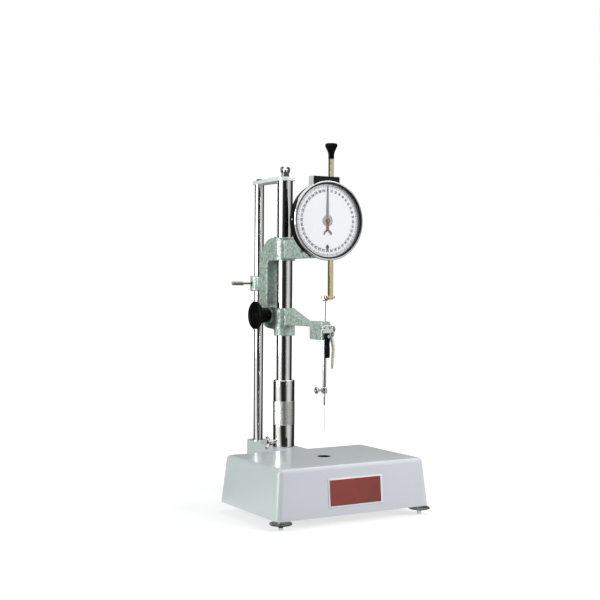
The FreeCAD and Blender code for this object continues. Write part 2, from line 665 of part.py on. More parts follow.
def make_feed():
    at = ("0", "column_y + feed_y", "feed_z")
    to_rack = FreeCAD.Rotation(FreeCAD.Vector(0, 0, -1), FreeCAD.Vector(-1, 0, 0),
                               FreeCAD.Vector(0, 1, 0), "ZXY")
    shaft = turned("feed_pinion", [
        ("0", "3 - web_half + 0.5"), ("feed_shaft", "3 - web_half + 0.5"),
        ("feed_shaft", "-feed_face / 2"), ("feed_tip", "-feed_face / 2"),
        ("feed_tip", "feed_face / 2"), ("feed_shaft", "feed_face / 2"),
        ("feed_shaft", "knob_reach - 3"), ("0", "knob_reach - 3")], at)
    turn_gear(shaft, at, (-1, 0, 0), (0, -1, 0))
    gear_blank(shaft, "feed_teeth", "feed_pitch", "feed_module", "feed_face",
               "-feed_face / 2")
    knob = turned("feed_knob", [
        ("feed_shaft", "boss_reach + 0.3"), ("knob_hub - 1", "boss_reach + 0.3"),
        ("knob_hub", "boss_reach + 1.3"), ("knob_hub", "knob_reach - knob_thick"),
        ("knob_radius - 1.5", "knob_reach - knob_thick"),
        ("knob_radius", "knob_reach - knob_thick + 1.5"), ("knob_radius", "knob_reach - 2"),
        ("knob_radius - 2", "knob_reach"), ("5", "knob_reach"), ("4.5", "knob_reach - 1"),
        ("0", "knob_reach - 1"), ("0", "knob_reach - 3"), ("feed_shaft", "knob_reach - 3")],
        at, LEFT)
    bore(knob, "XZ_Plane", ("0", "boss_reach + 7"), "1.5", "0", "knob_hub + 1", back=True)
    flute = bore(knob, "XY_Plane", ("knob_radius + knob_flute * 0.75", "0"), "knob_flute",
                 "knob_reach", "knob_thick + 1")
    pattern(knob, "PolarPattern", flute, axis_of(knob, "Z_Axis"), "knob_flutes")
    turned("knob_screw", [
        ("0", "feed_shaft + 0.1"), ("1.45", "feed_shaft + 0.1"), ("1.45", "knob_hub - 0.5"),
        ("0", "knob_hub - 0.5")],
        ("-(boss_reach + 7)", "column_y + feed_y", "feed_z"), FRONT)
    turned("guide_clamp_screw", [
        ("0", "rod_radius + running"), ("1.75", "rod_radius + running"), ("1.75", "30"),
        ("2.6", "30"), ("3.3", "31"), ("3.3", "50"), ("2.6", "51"), ("0", "51")],
        ("0", "rod_y", "feed_z + ear_height"), LEFT)


def turn_gear(body, at, axis, tooth):
    """Place a gear with its axis along axis and its +x tooth pointing along tooth."""
    z = FreeCAD.Vector(*axis)
    x = FreeCAD.Vector(*tooth)
    place(body, at, FreeCAD.Rotation(x, z.cross(x), z, "ZXY"))


# ---------------------------------------------------------------- dial gauge

def make_gauge_case():
    at = ("dial_x", "case_y", "dial_z")
    case = turned("gauge_case", [
        ("3", "0"), ("case_radius", "0"), ("case_radius", "case_deep"),
        ("case_radius - case_wall", "case_deep"),
        ("case_radius - case_wall", "case_floor"), ("3", "case_floor")], at, FRONT)
    notch = sketch_on(case, "XY_Plane", "case_floor")
    # the brass guides pass through the rim above and below, round the rod
    side = "gauge_rod_side - dial_x"
    for low, high in (("-case_radius - 1", "-case_radius + 8"),
                      ("case_radius - 8", "case_radius + 1")):
        polygon(notch, box_corners(f"{side} - 5", f"{side} + 5", low, high))
    pocket(case, notch, "7.6", back=True)

    turned("gauge_bezel", [
        ("case_radius + running", "case_deep - 3.5"), ("bezel_radius", "case_deep - 3.5"),
        ("bezel_radius", "bezel_front - 1.2"), ("bezel_radius - 1.4", "bezel_front"),
        ("bezel_lip", "bezel_front"), ("bezel_lip", "case_deep + glass_thick"),
        ("case_radius + running", "case_deep + glass_thick")], at, FRONT)
    turned("dial_glass", [
        ("0", "case_deep"), ("case_radius", "case_deep"),
        ("case_radius", "case_deep + glass_thick"), ("0", "case_deep + glass_thick")],
        at, FRONT)
    turned("dial_plate", [
        ("1.7", "face_lift"), ("case_radius - case_wall", "face_lift"),
        ("case_radius - case_wall", "face_lift + face_thick"),
        ("1.7", "face_lift + face_thick")], at, FRONT)
    turned("arbor_bush", [
        ("1.25", "0"), ("3", "0"), ("3", "case_floor + 1"), ("1.25", "case_floor + 1")],
        at, FRONT)

    arbor = turned("pointer_arbor", [
        ("0", "0.4"), ("1.2", "0.4"), ("1.2", "case_floor + 1.5"),
        ("gauge_pitch + gauge_addendum", "case_floor + 1.5"),
        ("gauge_pitch + gauge_addendum", "case_floor + 1.5 + gauge_face"),
        ("1.2", "case_floor + 1.5 + gauge_face"), ("1.2", "face_lift + face_thick + 1.8"),
        ("0", "face_lift + face_thick + 1.8")], at)
    turn_gear(arbor, at, (0, -1, 0), (1, 0, 0))
    gear_blank(arbor, "gauge_teeth", "gauge_pitch", "rack_pitch / 3.14159265",
               "gauge_face", "case_floor + 1.5")

    hand = new_body("pointer", ("dial_x", "case_y", "dial_z"), FRONT)
    lift = "face_lift + face_thick + 0.8"
    blade = sketch_on(hand, "XY_Plane", lift)
    tip = "case_radius - case_wall - hand_short"
    tail = "moon_radius - moon_far - moon_thick / 2"
    polygon(blade, [
        ("-hand_root", "0"), ("-hand_root / 2", tail), ("hand_root / 2", tail),
        ("hand_root", "0"), ("hand_root / 5", tip), ("-hand_root / 5", tip)])
    pad(hand, blade, "hand_thick")
    # the tail ends in a crescent that balances the blade
    moon = circle(sketch_on(hand, "XY_Plane", lift), ("0", "-moon_far"), "moon_radius")
    pad(hand, moon, "hand_thick")
    gap = circle(sketch_on(hand, "XY_Plane", lift), ("0", "-moon_far - moon_thick"),
                 "moon_radius")
    pocket(hand, gap, "hand_thick", back=True)
    hub = circle(sketch_on(hand, "XY_Plane", lift), ("0", "0"), "hand_hub")
    pad(hand, hub, "hand_thick * 2")
    bore(hand, "XY_Plane", ("0", "0"), "1.2", lift, "hand_thick * 2", back=True)


def make_gauge_mount():
    """The gear housing over the rim and the bracket between the case and the arm."""
    housing = new_body("gear_housing", ("dial_x", "case_y", "dial_z"), FRONT)
    block = sketch_on(housing, "XY_Plane")
    polygon(block, box_corners("-housing_left - dial_x", "housing_right - dial_x",
                               "housing_top - housing_deep", "housing_top"))
    pad(housing, block, "housing_front - case_back")
    around = circle(sketch_on(housing, "XY_Plane"), ("0", "0"), "case_radius + running")
    pocket(housing, around, "housing_front", back=True)
    proud = circle(sketch_on(housing, "XY_Plane", "case_deep - 3.6"), ("0", "0"),
                   "bezel_radius + running")
    pocket(housing, proud, "housing_front", back=True)
    hole = sketch_on(housing, "XZ_Plane")
    side = "gauge_rod_side - dial_x"
    ahead = "gauge_rod_ahead - case_back"
    play = "(gauge_rod_half + slack)"
    polygon(hole, box_corners(f"{side} - {play}", f"{side} + {play}", f"{ahead} - {play}",
                              f"{ahead} + {play}"))
    pocket(housing, hole, "housing_top + 1", back=False)

    bracket = new_body("gauge_bracket", ("0", "needle_y", "feed_z + window_top"))
    lug = sketch_on(bracket, "XY_Plane", "upper_arm_low")
    polygon(lug, box_corners("-lug_thick / 2", "lug_thick / 2", "-case_back", "lug_reach"))
    pad(bracket, lug, "upper_arm_deep")
    flange = sketch_on(bracket, "XZ_Plane", "case_back - flange_thick")
    polygon(flange, box_corners("dial_x - flange_half", "dial_x + flange_half",
                                "upper_arm_low", "dial_rise - window_top + flange_rise"))
    pad(bracket, flange, "flange_thick")
    for y, z in LUG_SCREWS:
        bore(bracket, "YZ_Plane", (y, f"{z} - window_top"), "1.6", "0", "lug_thick + 2",
             both=True)
    for index, (y, z) in enumerate(LUG_SCREWS, start=1):
        screw = turned(f"lug_screw_{index}", [
            ("0", "-upper_arm_half"), ("1.5", "-upper_arm_half"), ("1.5", "upper_arm_half"),
            ("3.4", "upper_arm_half"), ("3.4", "upper_arm_half + 1.8"),
            ("2.8", "upper_arm_half + 2.6"), ("0", "upper_arm_half + 2.6")],
            ("0", f"needle_y + {y}", f"feed_z + {z}"), LEFT)
        slot(screw, "3.4", "upper_arm_half + 2.6", "0.9")


def make_gauge_rod():
    at = ("gauge_rod_side", "gauge_rod_y", "dial_z")
    rod = new_body("gauge_rod", at)
    half = "gauge_rod_half"
    square = sketch_on(rod, "XY_Plane", "-gauge_rod_low")
    polygon(square, box_corners("-gauge_rod_half", half, "-gauge_rod_half", half))
    pad(rod, square, "gauge_rod_low + gauge_rod_high")
    tenon = circle(sketch_on(rod, "XY_Plane", "gauge_rod_high"), ("0", "0"), "2.5")
    pad(rod, tenon, "10")
    root = "gauge_addendum + rack_pitch * 0.4 - gauge_rod_half"
    first = "-gauge_racks_below * rack_pitch"
    gap = sketch_on(rod, "XZ_Plane")
    narrow = "rack_pitch / 4 - rack_pitch * 0.4 * 0.364 + 0.03"
    broad = "rack_pitch / 4 + rack_pitch * 0.4 * 0.364 + 0.03"
    outer = "gauge_addendum - rack_pitch * 0.4 - gauge_rod_half"
    polygon(gap, [(root, f"{first} - ({narrow})"), (root, f"{first} + {narrow}"),
                  (outer, f"{first} + {broad}"), (outer, f"{first} - ({broad})")])
    tooth = pocket(rod, gap, "gauge_rod_half * 3", both=True)
    pattern(rod, "LinearPattern", tooth, axis_of(rod, "Z_Axis"), "gauge_racks",
            "(gauge_racks - 1) * rack_pitch")

    play = "(gauge_rod_half + running)"
    for label, z in (("upper_rod_guide", "case_radius - 10.5"),
                     ("lower_rod_guide", "2.5 - case_radius")):
        guide = new_body(label, at)
        block = sketch_on(guide, "XY_Plane", z)
        rear = "gauge_rod_ahead - case_back - case_floor"
        polygon(block, box_corners("-5", "5", f"{rear} - 7.6", rear))
        pad(guide, block, "8")
        hole = sketch_on(guide, "XY_Plane", z)
        polygon(hole, box_corners(f"-{play}", play, f"-{play}", play))
        pocket(guide, hole, "8", back=True)

    turned("gauge_knob", [
        ("2.5", "0"), ("gauge_stem", "0"), ("gauge_stem", "gauge_knob_high / 3"),
        ("gauge_knob_radius - 0.7", "gauge_knob_high - 6"),
        ("gauge_knob_radius", "gauge_knob_high - 5"),
        ("gauge_knob_radius", "gauge_knob_high - 1.5"),
        ("gauge_knob_radius - 1.5", "gauge_knob_high"),
        ("0", "gauge_knob_high"), ("0", "10"), ("2.5", "10")],
        ("gauge_rod_side", "gauge_rod_y", "dial_z + gauge_rod_high"))

    foot = new_body("contact_foot", ("0", "needle_y", "foot_z"))
    pad(foot, circle(sketch_on(foot, "XY_Plane"), ("0", "0"), "foot_disc"), "foot_thick")
    arm = sketch_on(foot, "XY_Plane")
    out = "(gauge_rod_half + 2.2)"
    polygon(arm, box_corners("-2.5", f"gauge_rod_side + {out}",
                             f"-gauge_rod_ahead - {out}", "0"))
    pad(foot, arm, "foot_thick")
    hole = sketch_on(foot, "XY_Plane")
    polygon(hole, box_corners("gauge_rod_side - gauge_rod_half",
                              "gauge_rod_side + gauge_rod_half",
                              "-gauge_rod_ahead - gauge_rod_half",
                              "gauge_rod_half - gauge_rod_ahead"))
    pocket(foot, hole, "foot_thick", back=True)


# ---------------------------------------------------------------- plunger

def make_plunger():
    low = "plunger_low"
    turned("plunger_rod", [
        ("ferrule_radius", "chuck_z + chuck_height"), (low, "chuck_z + chuck_height"),
        (low, "feed_z - block_drop - 3"), ("plunger_radius", "feed_z - block_drop - 2"),
        ("plunger_radius", "cap_z"), ("0", "cap_z"),
        ("0", "chuck_z + chuck_height + 7"),
        ("ferrule_radius", "chuck_z + chuck_height + 7")], ("0", "needle_y", "0"))
    turned("plunger_cap", [
        ("0", "0"), ("cap_radius - 1", "0"), ("cap_radius", "1"),
        ("cap_radius", "cap_thick - 0.6"), ("cap_radius - 0.6", "cap_thick"),
        ("0", "cap_thick")], ("0", "needle_y", "cap_z"))
    chuck = turned("needle_chuck", [
        ("ferrule_radius", "0"), ("chuck_radius - 1.2", "0"), ("chuck_radius", "1.5"),
        ("chuck_radius", "chuck_height - 1"), ("chuck_radius - 1", "chuck_height"),
        ("ferrule_radius", "chuck_height")], ("0", "needle_y", "chuck_z"))
    bore(chuck, "YZ_Plane", ("0", "chuck_screw_rise"), "2.05", "0", "chuck_radius + 1")
    turned("chuck_screw", [
        ("0", "ferrule_radius + 0.1"), ("2", "ferrule_radius + 0.1"),
        ("2", "chuck_screw_reach - 3"), ("5", "chuck_screw_reach - 3"),
        ("5.5", "chuck_screw_reach - 2.5"), ("5.5", "chuck_screw_reach - 0.5"),
        ("5", "chuck_screw_reach"), ("0", "chuck_screw_reach")],
        ("0", "needle_y", "chuck_z + chuck_screw_rise"), LEFT)
    turned("needle_ferrule", [
        ("needle_radius", "0"), ("ferrule_radius - 0.4", "0"), ("ferrule_radius", "1"),
        ("ferrule_radius", "ferrule_length"), ("0", "ferrule_length"),
        ("0", "needle_grip"), ("needle_radius", "needle_grip")],
        ("0", "needle_y", "ferrule_z"))
    turned("needle", [
        ("0", "0"), ("0.08", "0"), ("needle_radius", "needle_taper"),
        ("needle_radius", "needle_exposed + needle_grip"),
        ("0", "needle_exposed + needle_grip")], ("0", "needle_y", "tip_z"))


# ---------------------------------------------------------------- release clutch

def make_clutch():
    plate = new_body("clutch_plate", ("0", "needle_y - block_front", "clutch_z"))
    face = sketch_on(plate, "XZ_Plane")
    polygon(face, box_corners("-lower_arm_half", "lower_arm_half", "-6.5", "6.5"))
    pad(plate, face, "clutch_thick")
    for side in ("-", ""):
        bore(plate, "XZ_Plane", (side + "5", "3"), "1.3", "0", "clutch_thick", back=True)

    grip = new_body("clutch_grip", ("0", "needle_y - block_front", "clutch_z - 6.6"))
    side = sketch_on(grip, "YZ_Plane")
    polygon(side, [
        ("0", "0"), ("0", "-grip_length"), ("1.5 - grip_deep", "-grip_length"),
        ("-grip_deep", "3 - grip_length"), ("-grip_deep", "-grip_length * 0.6"),
        ("1.2 - grip_deep", "-grip_length * 0.45"), ("-grip_deep", "-grip_length * 0.3"),
        ("-grip_deep", "-2"), ("2 - grip_deep", "0")])
    pad(grip, side, "grip_half * 2", both=True)
    bore(grip, "XZ_Plane", ("0", "-5"), "1.3", "0", "grip_deep + 1", back=True)

    spots = (("-5", "3", "clutch_thick"), ("5", "3", "clutch_thick"),
             ("0", "-11.6", "grip_deep"))
    for index, (x, z, deep) in enumerate(spots, start=1):
        screw = turned(f"clutch_screw_{index}", [
            ("0", "0"), ("1.25", "0"), ("1.25", deep), ("2.4", deep),
            ("2.4", f"{deep} + 0.8"), ("1.8", f"{deep} + 1.4"), ("0", f"{deep} + 1.4")],
            (x, "needle_y - block_front", f"clutch_z + {z}"), FRONT)
        slot(screw, "2.4", f"{deep} + 1.4", "0.7")

    lever = new_body("release_lever", ("lever_x", "needle_y", "clutch_z - lever_drop"))
    bow = sketch_on(lever, "XZ_Plane")
    polygon(bow, [
        ("-2.4", "lever_drop + 3.5"), ("-1.9", "-3"), ("2.2", "-lever_length * 0.44"),
        ("0.8", "-lever_length * 0.8"), ("0.6", "-lever_length"), ("2.6", "-lever_length"),
        ("4", "-lever_length * 0.8"), ("6.5", "-lever_length * 0.44"), ("2.4", "1"),
        ("2.2", "lever_drop + 3.5")])
    pad(lever, bow, "lever_half * 2", both=True)
    fork = sketch_on(lever, "YZ_Plane")
    polygon(fork, box_corners("-shoe_stem - 0.3", "shoe_stem + 0.3",
                              "lever_drop - shoe_stem - 0.4", "lever_drop + 5"))
    pocket(lever, fork, "20", both=True)
    bore(lever, "XZ_Plane", ("0", "0"), "pin_radius + running", "0", "lever_half * 3",
         both=True)

    end = "lever_half + lever_lug + 0.2"
    turned("lever_pin", [
        ("0", f"-({end}) - 0.5"), ("pin_radius", f"-({end}) - 0.5"), ("pin_radius", end),
        ("pin_radius + 0.8", end), ("pin_radius + 0.8", f"{end} + 1"), ("0", f"{end} + 1")],
        ("lever_x", "needle_y", "clutch_z - lever_drop"), FRONT)
    at = ("0", "needle_y", "clutch_z")
    turned("clutch_shoe", [
        ("0", "plunger_radius + 0.1"), ("shoe_radius", "plunger_radius + 0.1"),
        ("shoe_radius", "3.4"), ("shoe_stem", "3.4"), ("shoe_stem", "shoe_reach + 3"),
        ("0", "shoe_reach + 3")], at, RIGHT)
    turned("shoe_nut", [
        ("shoe_stem", "shoe_reach"), ("shoe_nut - 0.5", "shoe_reach"),
        ("shoe_nut", "shoe_reach + 0.5"), ("shoe_nut", "shoe_reach + shoe_nut_thick - 0.5"),
        ("shoe_nut - 0.5", "shoe_reach + shoe_nut_thick"),
        ("shoe_stem", "shoe_reach + shoe_nut_thick")], at, RIGHT)
    turned("shoe_gland", [
        ("shoe_stem + running", "lower_arm_half - 1.6"), ("3.5", "lower_arm_half - 1.6"),
        ("3.5", "lower_arm_half"), ("shoe_stem + running", "lower_arm_half")], at, RIGHT)
    make_spring(at)


def make_spring(at):
    """The clutch's closing spring, a coil between the gland and the shoe's head."""
    wire = value("spring_wire")
    start = value("spring_start")
    length = value("lower_arm_half - 1.6") - wire - start
    coil = Part.makeHelix(length / 1.5, length, value("spring_radius"))
    corners = [FreeCAD.Vector(value("spring_radius") + x * wire / 2, 0, z * wire / 2)
               for x, z in ((-1, -1), (1, -1), (1, 1), (-1, 1), (-1, -1))]
    section = Part.Wire(Part.makePolygon(corners))
    solid = Part.Wire(coil.Edges).makePipeShell([section], True, True)
    spring = doc.addObject("Part::Feature", "clutch_spring")
    spring.Label = "clutch_spring"
    spring.Shape = solid
    along = FreeCAD.Vector(start + wire / 2, value("needle_y"), value("clutch_z"))
    spring.Placement = FreeCAD.Placement(along, RIGHT)
    NODES.append(spring)


def make_name_plate():
    """A bare plate on the sloping front of the base."""
    lean = FreeCAD.Rotation(FreeCAD.Vector(1, 0, 0), 90 - value("draft"))
    down = "plate_drop"
    plate = new_body("name_plate", (
        "0", f"base_front + base_taper * (base_height - {down}) / base_height",
        f"base_top - {down}"), lean)
    face = sketch_on(plate, "XY_Plane")
    polygon(face, box_corners("-plate_width / 2", "plate_width / 2", "-plate_height / 2",
                              "plate_height / 2"))
    pad(plate, face, "plate_sheet")


make_base()
make_feet()
make_mast()
make_carriage_casting()
make_bushes()
make_feed()
make_gauge_case()
make_gauge_mount()
make_gauge_rod()
make_plunger()
make_clutch()
make_name_plate()
doc.recompute()

faulty = [thing.Label for thing in doc.Objects
          if "Invalid" in thing.State or "Error" in thing.State]
if faulty:
    raise RuntimeError("features that failed: " + ", ".join(faulty))
for node in NODES:
    if node.Shape.isNull() or not node.Shape.isValid() or not node.Shape.Solids:
        raise RuntimeError(node.Label + ": no valid solid")
for node in NODES:
    node.Shape.exportStep(f"parts/{node.Label}.step")
    print(node.Label, len(node.Shape.Solids), round(node.Shape.Volume, 1))
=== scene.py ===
# %% [markdown]
# # A bench penetrometer, dressed for the camera
# The real instrument is a painted iron base on three levelling screws, a chromed column with a
# carriage that winds up and down it, a large dial gauge, and a needle held by a hand clutch.
# The solids already stand in their places and could simply be coloured. Here they are the
# ruler instead: a casting keeps its own mesh with softened edges, and a turned, knurled or
# bent part gets a finer surface worked out with numpy.

# %% Open the measured model
import math
import bmesh
import bpy
import numpy as np
from mathutils import Matrix, Vector


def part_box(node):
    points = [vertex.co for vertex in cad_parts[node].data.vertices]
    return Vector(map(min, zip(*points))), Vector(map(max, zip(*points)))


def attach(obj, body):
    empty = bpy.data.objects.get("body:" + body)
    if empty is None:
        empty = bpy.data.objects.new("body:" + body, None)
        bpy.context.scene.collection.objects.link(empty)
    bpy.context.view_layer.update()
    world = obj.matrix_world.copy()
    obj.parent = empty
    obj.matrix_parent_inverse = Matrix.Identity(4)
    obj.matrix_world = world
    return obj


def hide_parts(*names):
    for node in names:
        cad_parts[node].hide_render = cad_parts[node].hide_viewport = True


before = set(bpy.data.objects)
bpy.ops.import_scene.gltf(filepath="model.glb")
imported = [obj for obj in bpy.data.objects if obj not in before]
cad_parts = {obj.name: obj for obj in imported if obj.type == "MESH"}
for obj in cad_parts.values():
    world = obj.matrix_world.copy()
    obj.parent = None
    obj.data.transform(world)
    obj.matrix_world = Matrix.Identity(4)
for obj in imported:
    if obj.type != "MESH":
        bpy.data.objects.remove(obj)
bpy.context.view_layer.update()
MM = 0.001

# %% [markdown]
# The main lines of the instrument come from the solids' own boxes, so nothing is fitted by
# hand: the column, the rear rod, the needle and the winding shaft are all axes that later
# cells turn their profiles about.

# %% Find the instrument's own axes


def middle(solid):
    """The centre of a solid's box: half way between its lowest and highest corners."""
    low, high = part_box(solid)
    return (np.array(low) + np.array(high)) / 2


COLUMN = middle("column") * (1, 1, 0)
ROD = middle("guide_rod") * (1, 1, 0)
NEEDLE = middle("needle") * (1, 1, 0)
FEED = np.array([0.0, middle("feed_knob")[1], middle("feed_knob")[2]])
DIAL = middle("gauge_bezel") * (1, 0, 1) + (0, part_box("gauge_case")[1][1], 0)
BASE_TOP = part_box("base_casting")[1][2]
print("column", COLUMN, "rod", ROD, "needle", NEEDLE, "feed", FEED, "dial", DIAL)

# %% [markdown]
# ## The surface tools
# A turned part is a profile of radius against height carried round an axis. It could be a
# Screw modifier on a drawn curve, but a grid of profile points by angles can also be pressed
# in and out by a formula, which is how the flutes, knurls and threads below are cut. A bent
# part is a rounded section carried along a path in the same way.

# %% Small mesh helpers
UP = ((1, 0, 0), (0, 1, 0), (0, 0, 1))
FRONT = ((1, 0, 0), (0, 0, 1), (0, -1, 0))
LEFT = ((0, 1, 0), (0, 0, -1), (-1, 0, 0))
RIGHT = ((0, 1, 0), (0, 0, 1), (1, 0, 0))


def grid_faces(rows, columns):
    """Quads of a grid whose columns close on themselves: each joins a point to the next one
    round and to the pair in the row above."""
    row, column = np.meshgrid(np.arange(rows - 1), np.arange(columns), indexing="ij")
    after = (column + 1) % columns
    return np.stack([row * columns + column, row * columns + after,
                     (row + 1) * columns + after, (row + 1) * columns + column],
                    axis=-1).reshape(-1, 4)


def soften(profile, bite, steps=4):
    """Round each inner corner: between two points that lie bite from the corner runs the
    parabola (1-s)^2 A + 2s(1-s) P + s^2 B. Bite shrinks to under half of a short side."""
    points = np.array(profile, float)
    before, corner, after = points[:-2], points[1:-1], points[2:]
    to_before, to_after = before - corner, after - corner
    long_before = np.linalg.norm(to_before, axis=1, keepdims=True)
    long_after = np.linalg.norm(to_after, axis=1, keepdims=True)
    reach = np.minimum(bite, 0.45 * np.minimum(long_before, long_after))
    start = corner + to_before / long_before * reach
    end = corner + to_after / long_after * reach
    s = np.linspace(0, 1, steps)[None, :, None]
    arcs = ((1 - s) ** 2 * start[:, None] + 2 * s * (1 - s) * corner[:, None]
            + s ** 2 * end[:, None])
    return np.vstack([points[:1], arcs.reshape(-1, 2), points[-1:]])


def turned(profile, origin, axes=UP, count=72, bite=0.4, press=None, steps=4):
    """Point = origin + radius cos(angle) U + radius sin(angle) V + height W, over the profile
    and a full turn. press(radius, height, angle) may change the radius, all in mm."""
    line = soften(profile, bite, steps)
    angle = np.linspace(0, 2 * math.pi, count, endpoint=False)[None, :]
    radius = np.repeat(line[:, :1], count, axis=1)
    height = np.repeat(line[:, 1:], count, axis=1)
    if press is not None:
        radius = press(radius, height, angle + 0 * radius)
    u, v, w = np.array(axes, float)
    points = (np.asarray(origin) + MM * ((radius * np.cos(angle))[..., None] * u
                                         + (radius * np.sin(angle))[..., None] * v
                                         + height[..., None] * w))
    return points.reshape(-1, 3), grid_faces(len(line), count)


def carried(path, wide, deep, across, power=1.0, count=20):
    """A section carried along a path. At each path point the section is path + wide c N +
    deep s A, where A is the fixed across direction, N is square to it and to the path, and
    c and s are cosine and sine raised to a power: 1 is an ellipse, lower is squarer."""
    path = np.asarray(path, float)
    along = np.gradient(path, axis=0)
    along /= np.linalg.norm(along, axis=1, keepdims=True)
    across = np.asarray(across, float)
    normal = np.cross(along, across)
    normal /= np.linalg.norm(normal, axis=1, keepdims=True)
    angle = np.linspace(0, 2 * math.pi, count, endpoint=False)
    c = np.sign(np.cos(angle)) * np.abs(np.cos(angle)) ** power
    s = np.sign(np.sin(angle)) * np.abs(np.sin(angle)) ** power
    wide = np.broadcast_to(wide, len(path))[:, None, None]
    deep = np.broadcast_to(deep, len(path))[:, None, None]
    points = (path[:, None] + wide * c[None, :, None] * normal[:, None]
              + deep * s[None, :, None] * across)
    return points.reshape(-1, 3), grid_faces(len(path), count)


def smooth_line(corners, count):
    """A Catmull-Rom curve through the corners: each span mixes four corners by cubics."""
    knots = np.asarray(corners, float)
    knots = np.vstack([2 * knots[0] - knots[1], knots, 2 * knots[-1] - knots[-2]])
    t = np.linspace(0, len(knots) - 3, count)
    span = np.minimum(t.astype(int), len(knots) - 4)
    s = (t - span)[:, None]
    a, b, c, d = (knots[span + k] for k in range(4))
    return 0.5 * (2 * b + (c - a) * s + (2 * a - 5 * b + 4 * c - d) * s ** 2
                  + (3 * b - a - 3 * c + d) * s ** 3)


# %% Turn arrays into finished pieces


def tidy(mesh, crease=None, flat=None, reach=2e-6):
    """Weld doubles and poles within reach, and point the faces outwards. With a crease, also
    drop empty faces, and shade smooth except across edges sharper than crease degrees. Flat
    joins faces that lie in a plane within as many degrees."""
    work = bmesh.new()
    work.from_mesh(mesh)
    bmesh.ops.remove_doubles(work, verts=work.verts, dist=reach)
    if crease is not None:
        bmesh.ops.dissolve_degenerate(work, edges=work.edges, dist=1e-7)
    if flat is not None:
        bmesh.ops.dissolve_limit(work, angle_limit=math.radians(flat), verts=work.verts,
                                 edges=work.edges, delimit={"NORMAL"})
    bmesh.ops.recalc_face_normals(work, faces=work.faces)
    work.to_mesh(mesh)
    work.free()
    if crease is not None:
        mesh.polygons.foreach_set("use_smooth", np.ones(len(mesh.polygons), bool))
        mesh.set_sharp_from_angle(angle=math.radians(crease))
    return mesh


def as_mesh(name, shells, crease):
    """Join shells of (points, faces) in one mesh, and tidy it."""
    starts = np.cumsum([0] + [len(points) for points, _ in shells])
    points = np.vstack([points for points, _ in shells])
    faces = np.vstack([faces + start for (_, faces), start in zip(shells, starts)])
    mesh = bpy.data.meshes.new(name)
    mesh.from_pydata(points.tolist(), [], faces.tolist())
    return tidy(mesh, crease)


def piece(name, shape, body, slot, finish, *nodes, crease=34.0):
    """Put a shape in the scene as a piece of one body, standing for the named solids. The
    shape is a mesh, or a list of shells."""
    mesh = as_mesh(name, shape, crease) if isinstance(shape, list) else shape
    thing = bpy.data.objects.new(name, mesh)
    bpy.context.scene.collection.objects.link(thing)
    mesh.materials.clear()
    mesh.materials.append(finish)
    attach(thing, body)
    if nodes:
        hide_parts(*nodes)
    print("made", name, len(mesh.polygons), "faces")
    return thing


def lathe(name, profile, place, body, slot, finish, *nodes, crease=34.0, **form):
    """One turned piece: its profile turned at a place in the form asked for."""
    piece(name, [turned(profile, place, **form)], body, slot, finish, *nodes, crease=crease)


def soft_edges(thing, width, segments, clamped):
    """A live Bevel on the sharper corners, as a file or a casting leaves them. A clamped
    one keeps to the room that each corner has."""
    bevel = thing.modifiers.new("worn_edges", "BEVEL")
    bevel.width = width * MM
    bevel.segments = segments
    bevel.limit_method = "ANGLE"
    bevel.angle_limit = math.radians(32.0)
    bevel.use_clamp_overlap = clamped
    bevel.harden_normals = False


def dress(solid, body, slot, finish, width=0.0, crease=30.0, segments=2, clamped=False):
    """A welded copy of a solid's own mesh, with smooth shading and softened edges."""
    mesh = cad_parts[solid].data.copy()
    mesh.name = solid + "_skin"
    if mesh.has_custom_normals:
        mesh.attributes.remove(mesh.attributes["custom_normal"])
    tidy(mesh, crease, flat=0.6)
    thing = piece(solid + "_skin", mesh, body, slot, finish, solid)
    if width:
        soft_edges(thing, width, segments, clamped)
    return thing


# %% [markdown]
# ## Finishes
# Each finish is a small tree of nodes on the Principled shader. Pictures of paint or metal
# could be used, but a formula has no seams and keeps its grain at any size. All of them read
# Object coordinates in metres, so the scale of a pattern is one over its size in metres.

# %% Helpers for the finishes


def finish_tree(name, colour, rough, metallic=0.0, **sockets):
    """A new material with plain values on its Principled shader, and that shader's tree."""
    material = bpy.data.materials.new(name)
    material.use_nodes = True
    tree = material.node_tree
    shader = tree.nodes["Principled BSDF"]
    shader.inputs["Base Color"].default_value = (*colour, 1)
    shader.inputs["Roughness"].default_value = rough
    shader.inputs["Metallic"].default_value = metallic
    for socket, number in sockets.items():
        shader.inputs[socket.replace("_", " ")].default_value = number
    return material, tree, shader


def node(tree, kind, links=(), **settings):
    """Add a node, set its properties and join its inputs to other sockets or numbers."""
    made_node = tree.nodes.new(kind)
    for key, setting in settings.items():
        setattr(made_node, key, setting)
    for socket, source in links:
        if isinstance(source, bpy.types.NodeSocket):
            tree.links.new(source, made_node.inputs[socket])
        else:
            made_node.inputs[socket].default_value = source
    return made_node


def noise(tree, scale, detail=2.0, stretch=None):
    """Noise in object space; scale is per metre, stretch squeezes it along the axes."""
    where = node(tree, "ShaderNodeTexCoord").outputs["Object"]
    if stretch is not None:
        where = node(tree, "ShaderNodeMapping", [("Vector", where), ("Scale", stretch)])
        where = where.outputs["Vector"]
    found = node(tree, "ShaderNodeTexNoise",
                 [("Vector", where), ("Scale", scale), ("Detail", detail)])
    return found.outputs["Fac"]


def ramp(tree, source, low, high, from_min=0.3, from_max=0.7):
    """Carry a 0 to 1 pattern over to the range low to high."""
    return node(tree, "ShaderNodeMapRange", [
        ("Value", source), ("From Min", from_min), ("From Max", from_max),
        ("To Min", low), ("To Max", high)]).outputs["Result"]


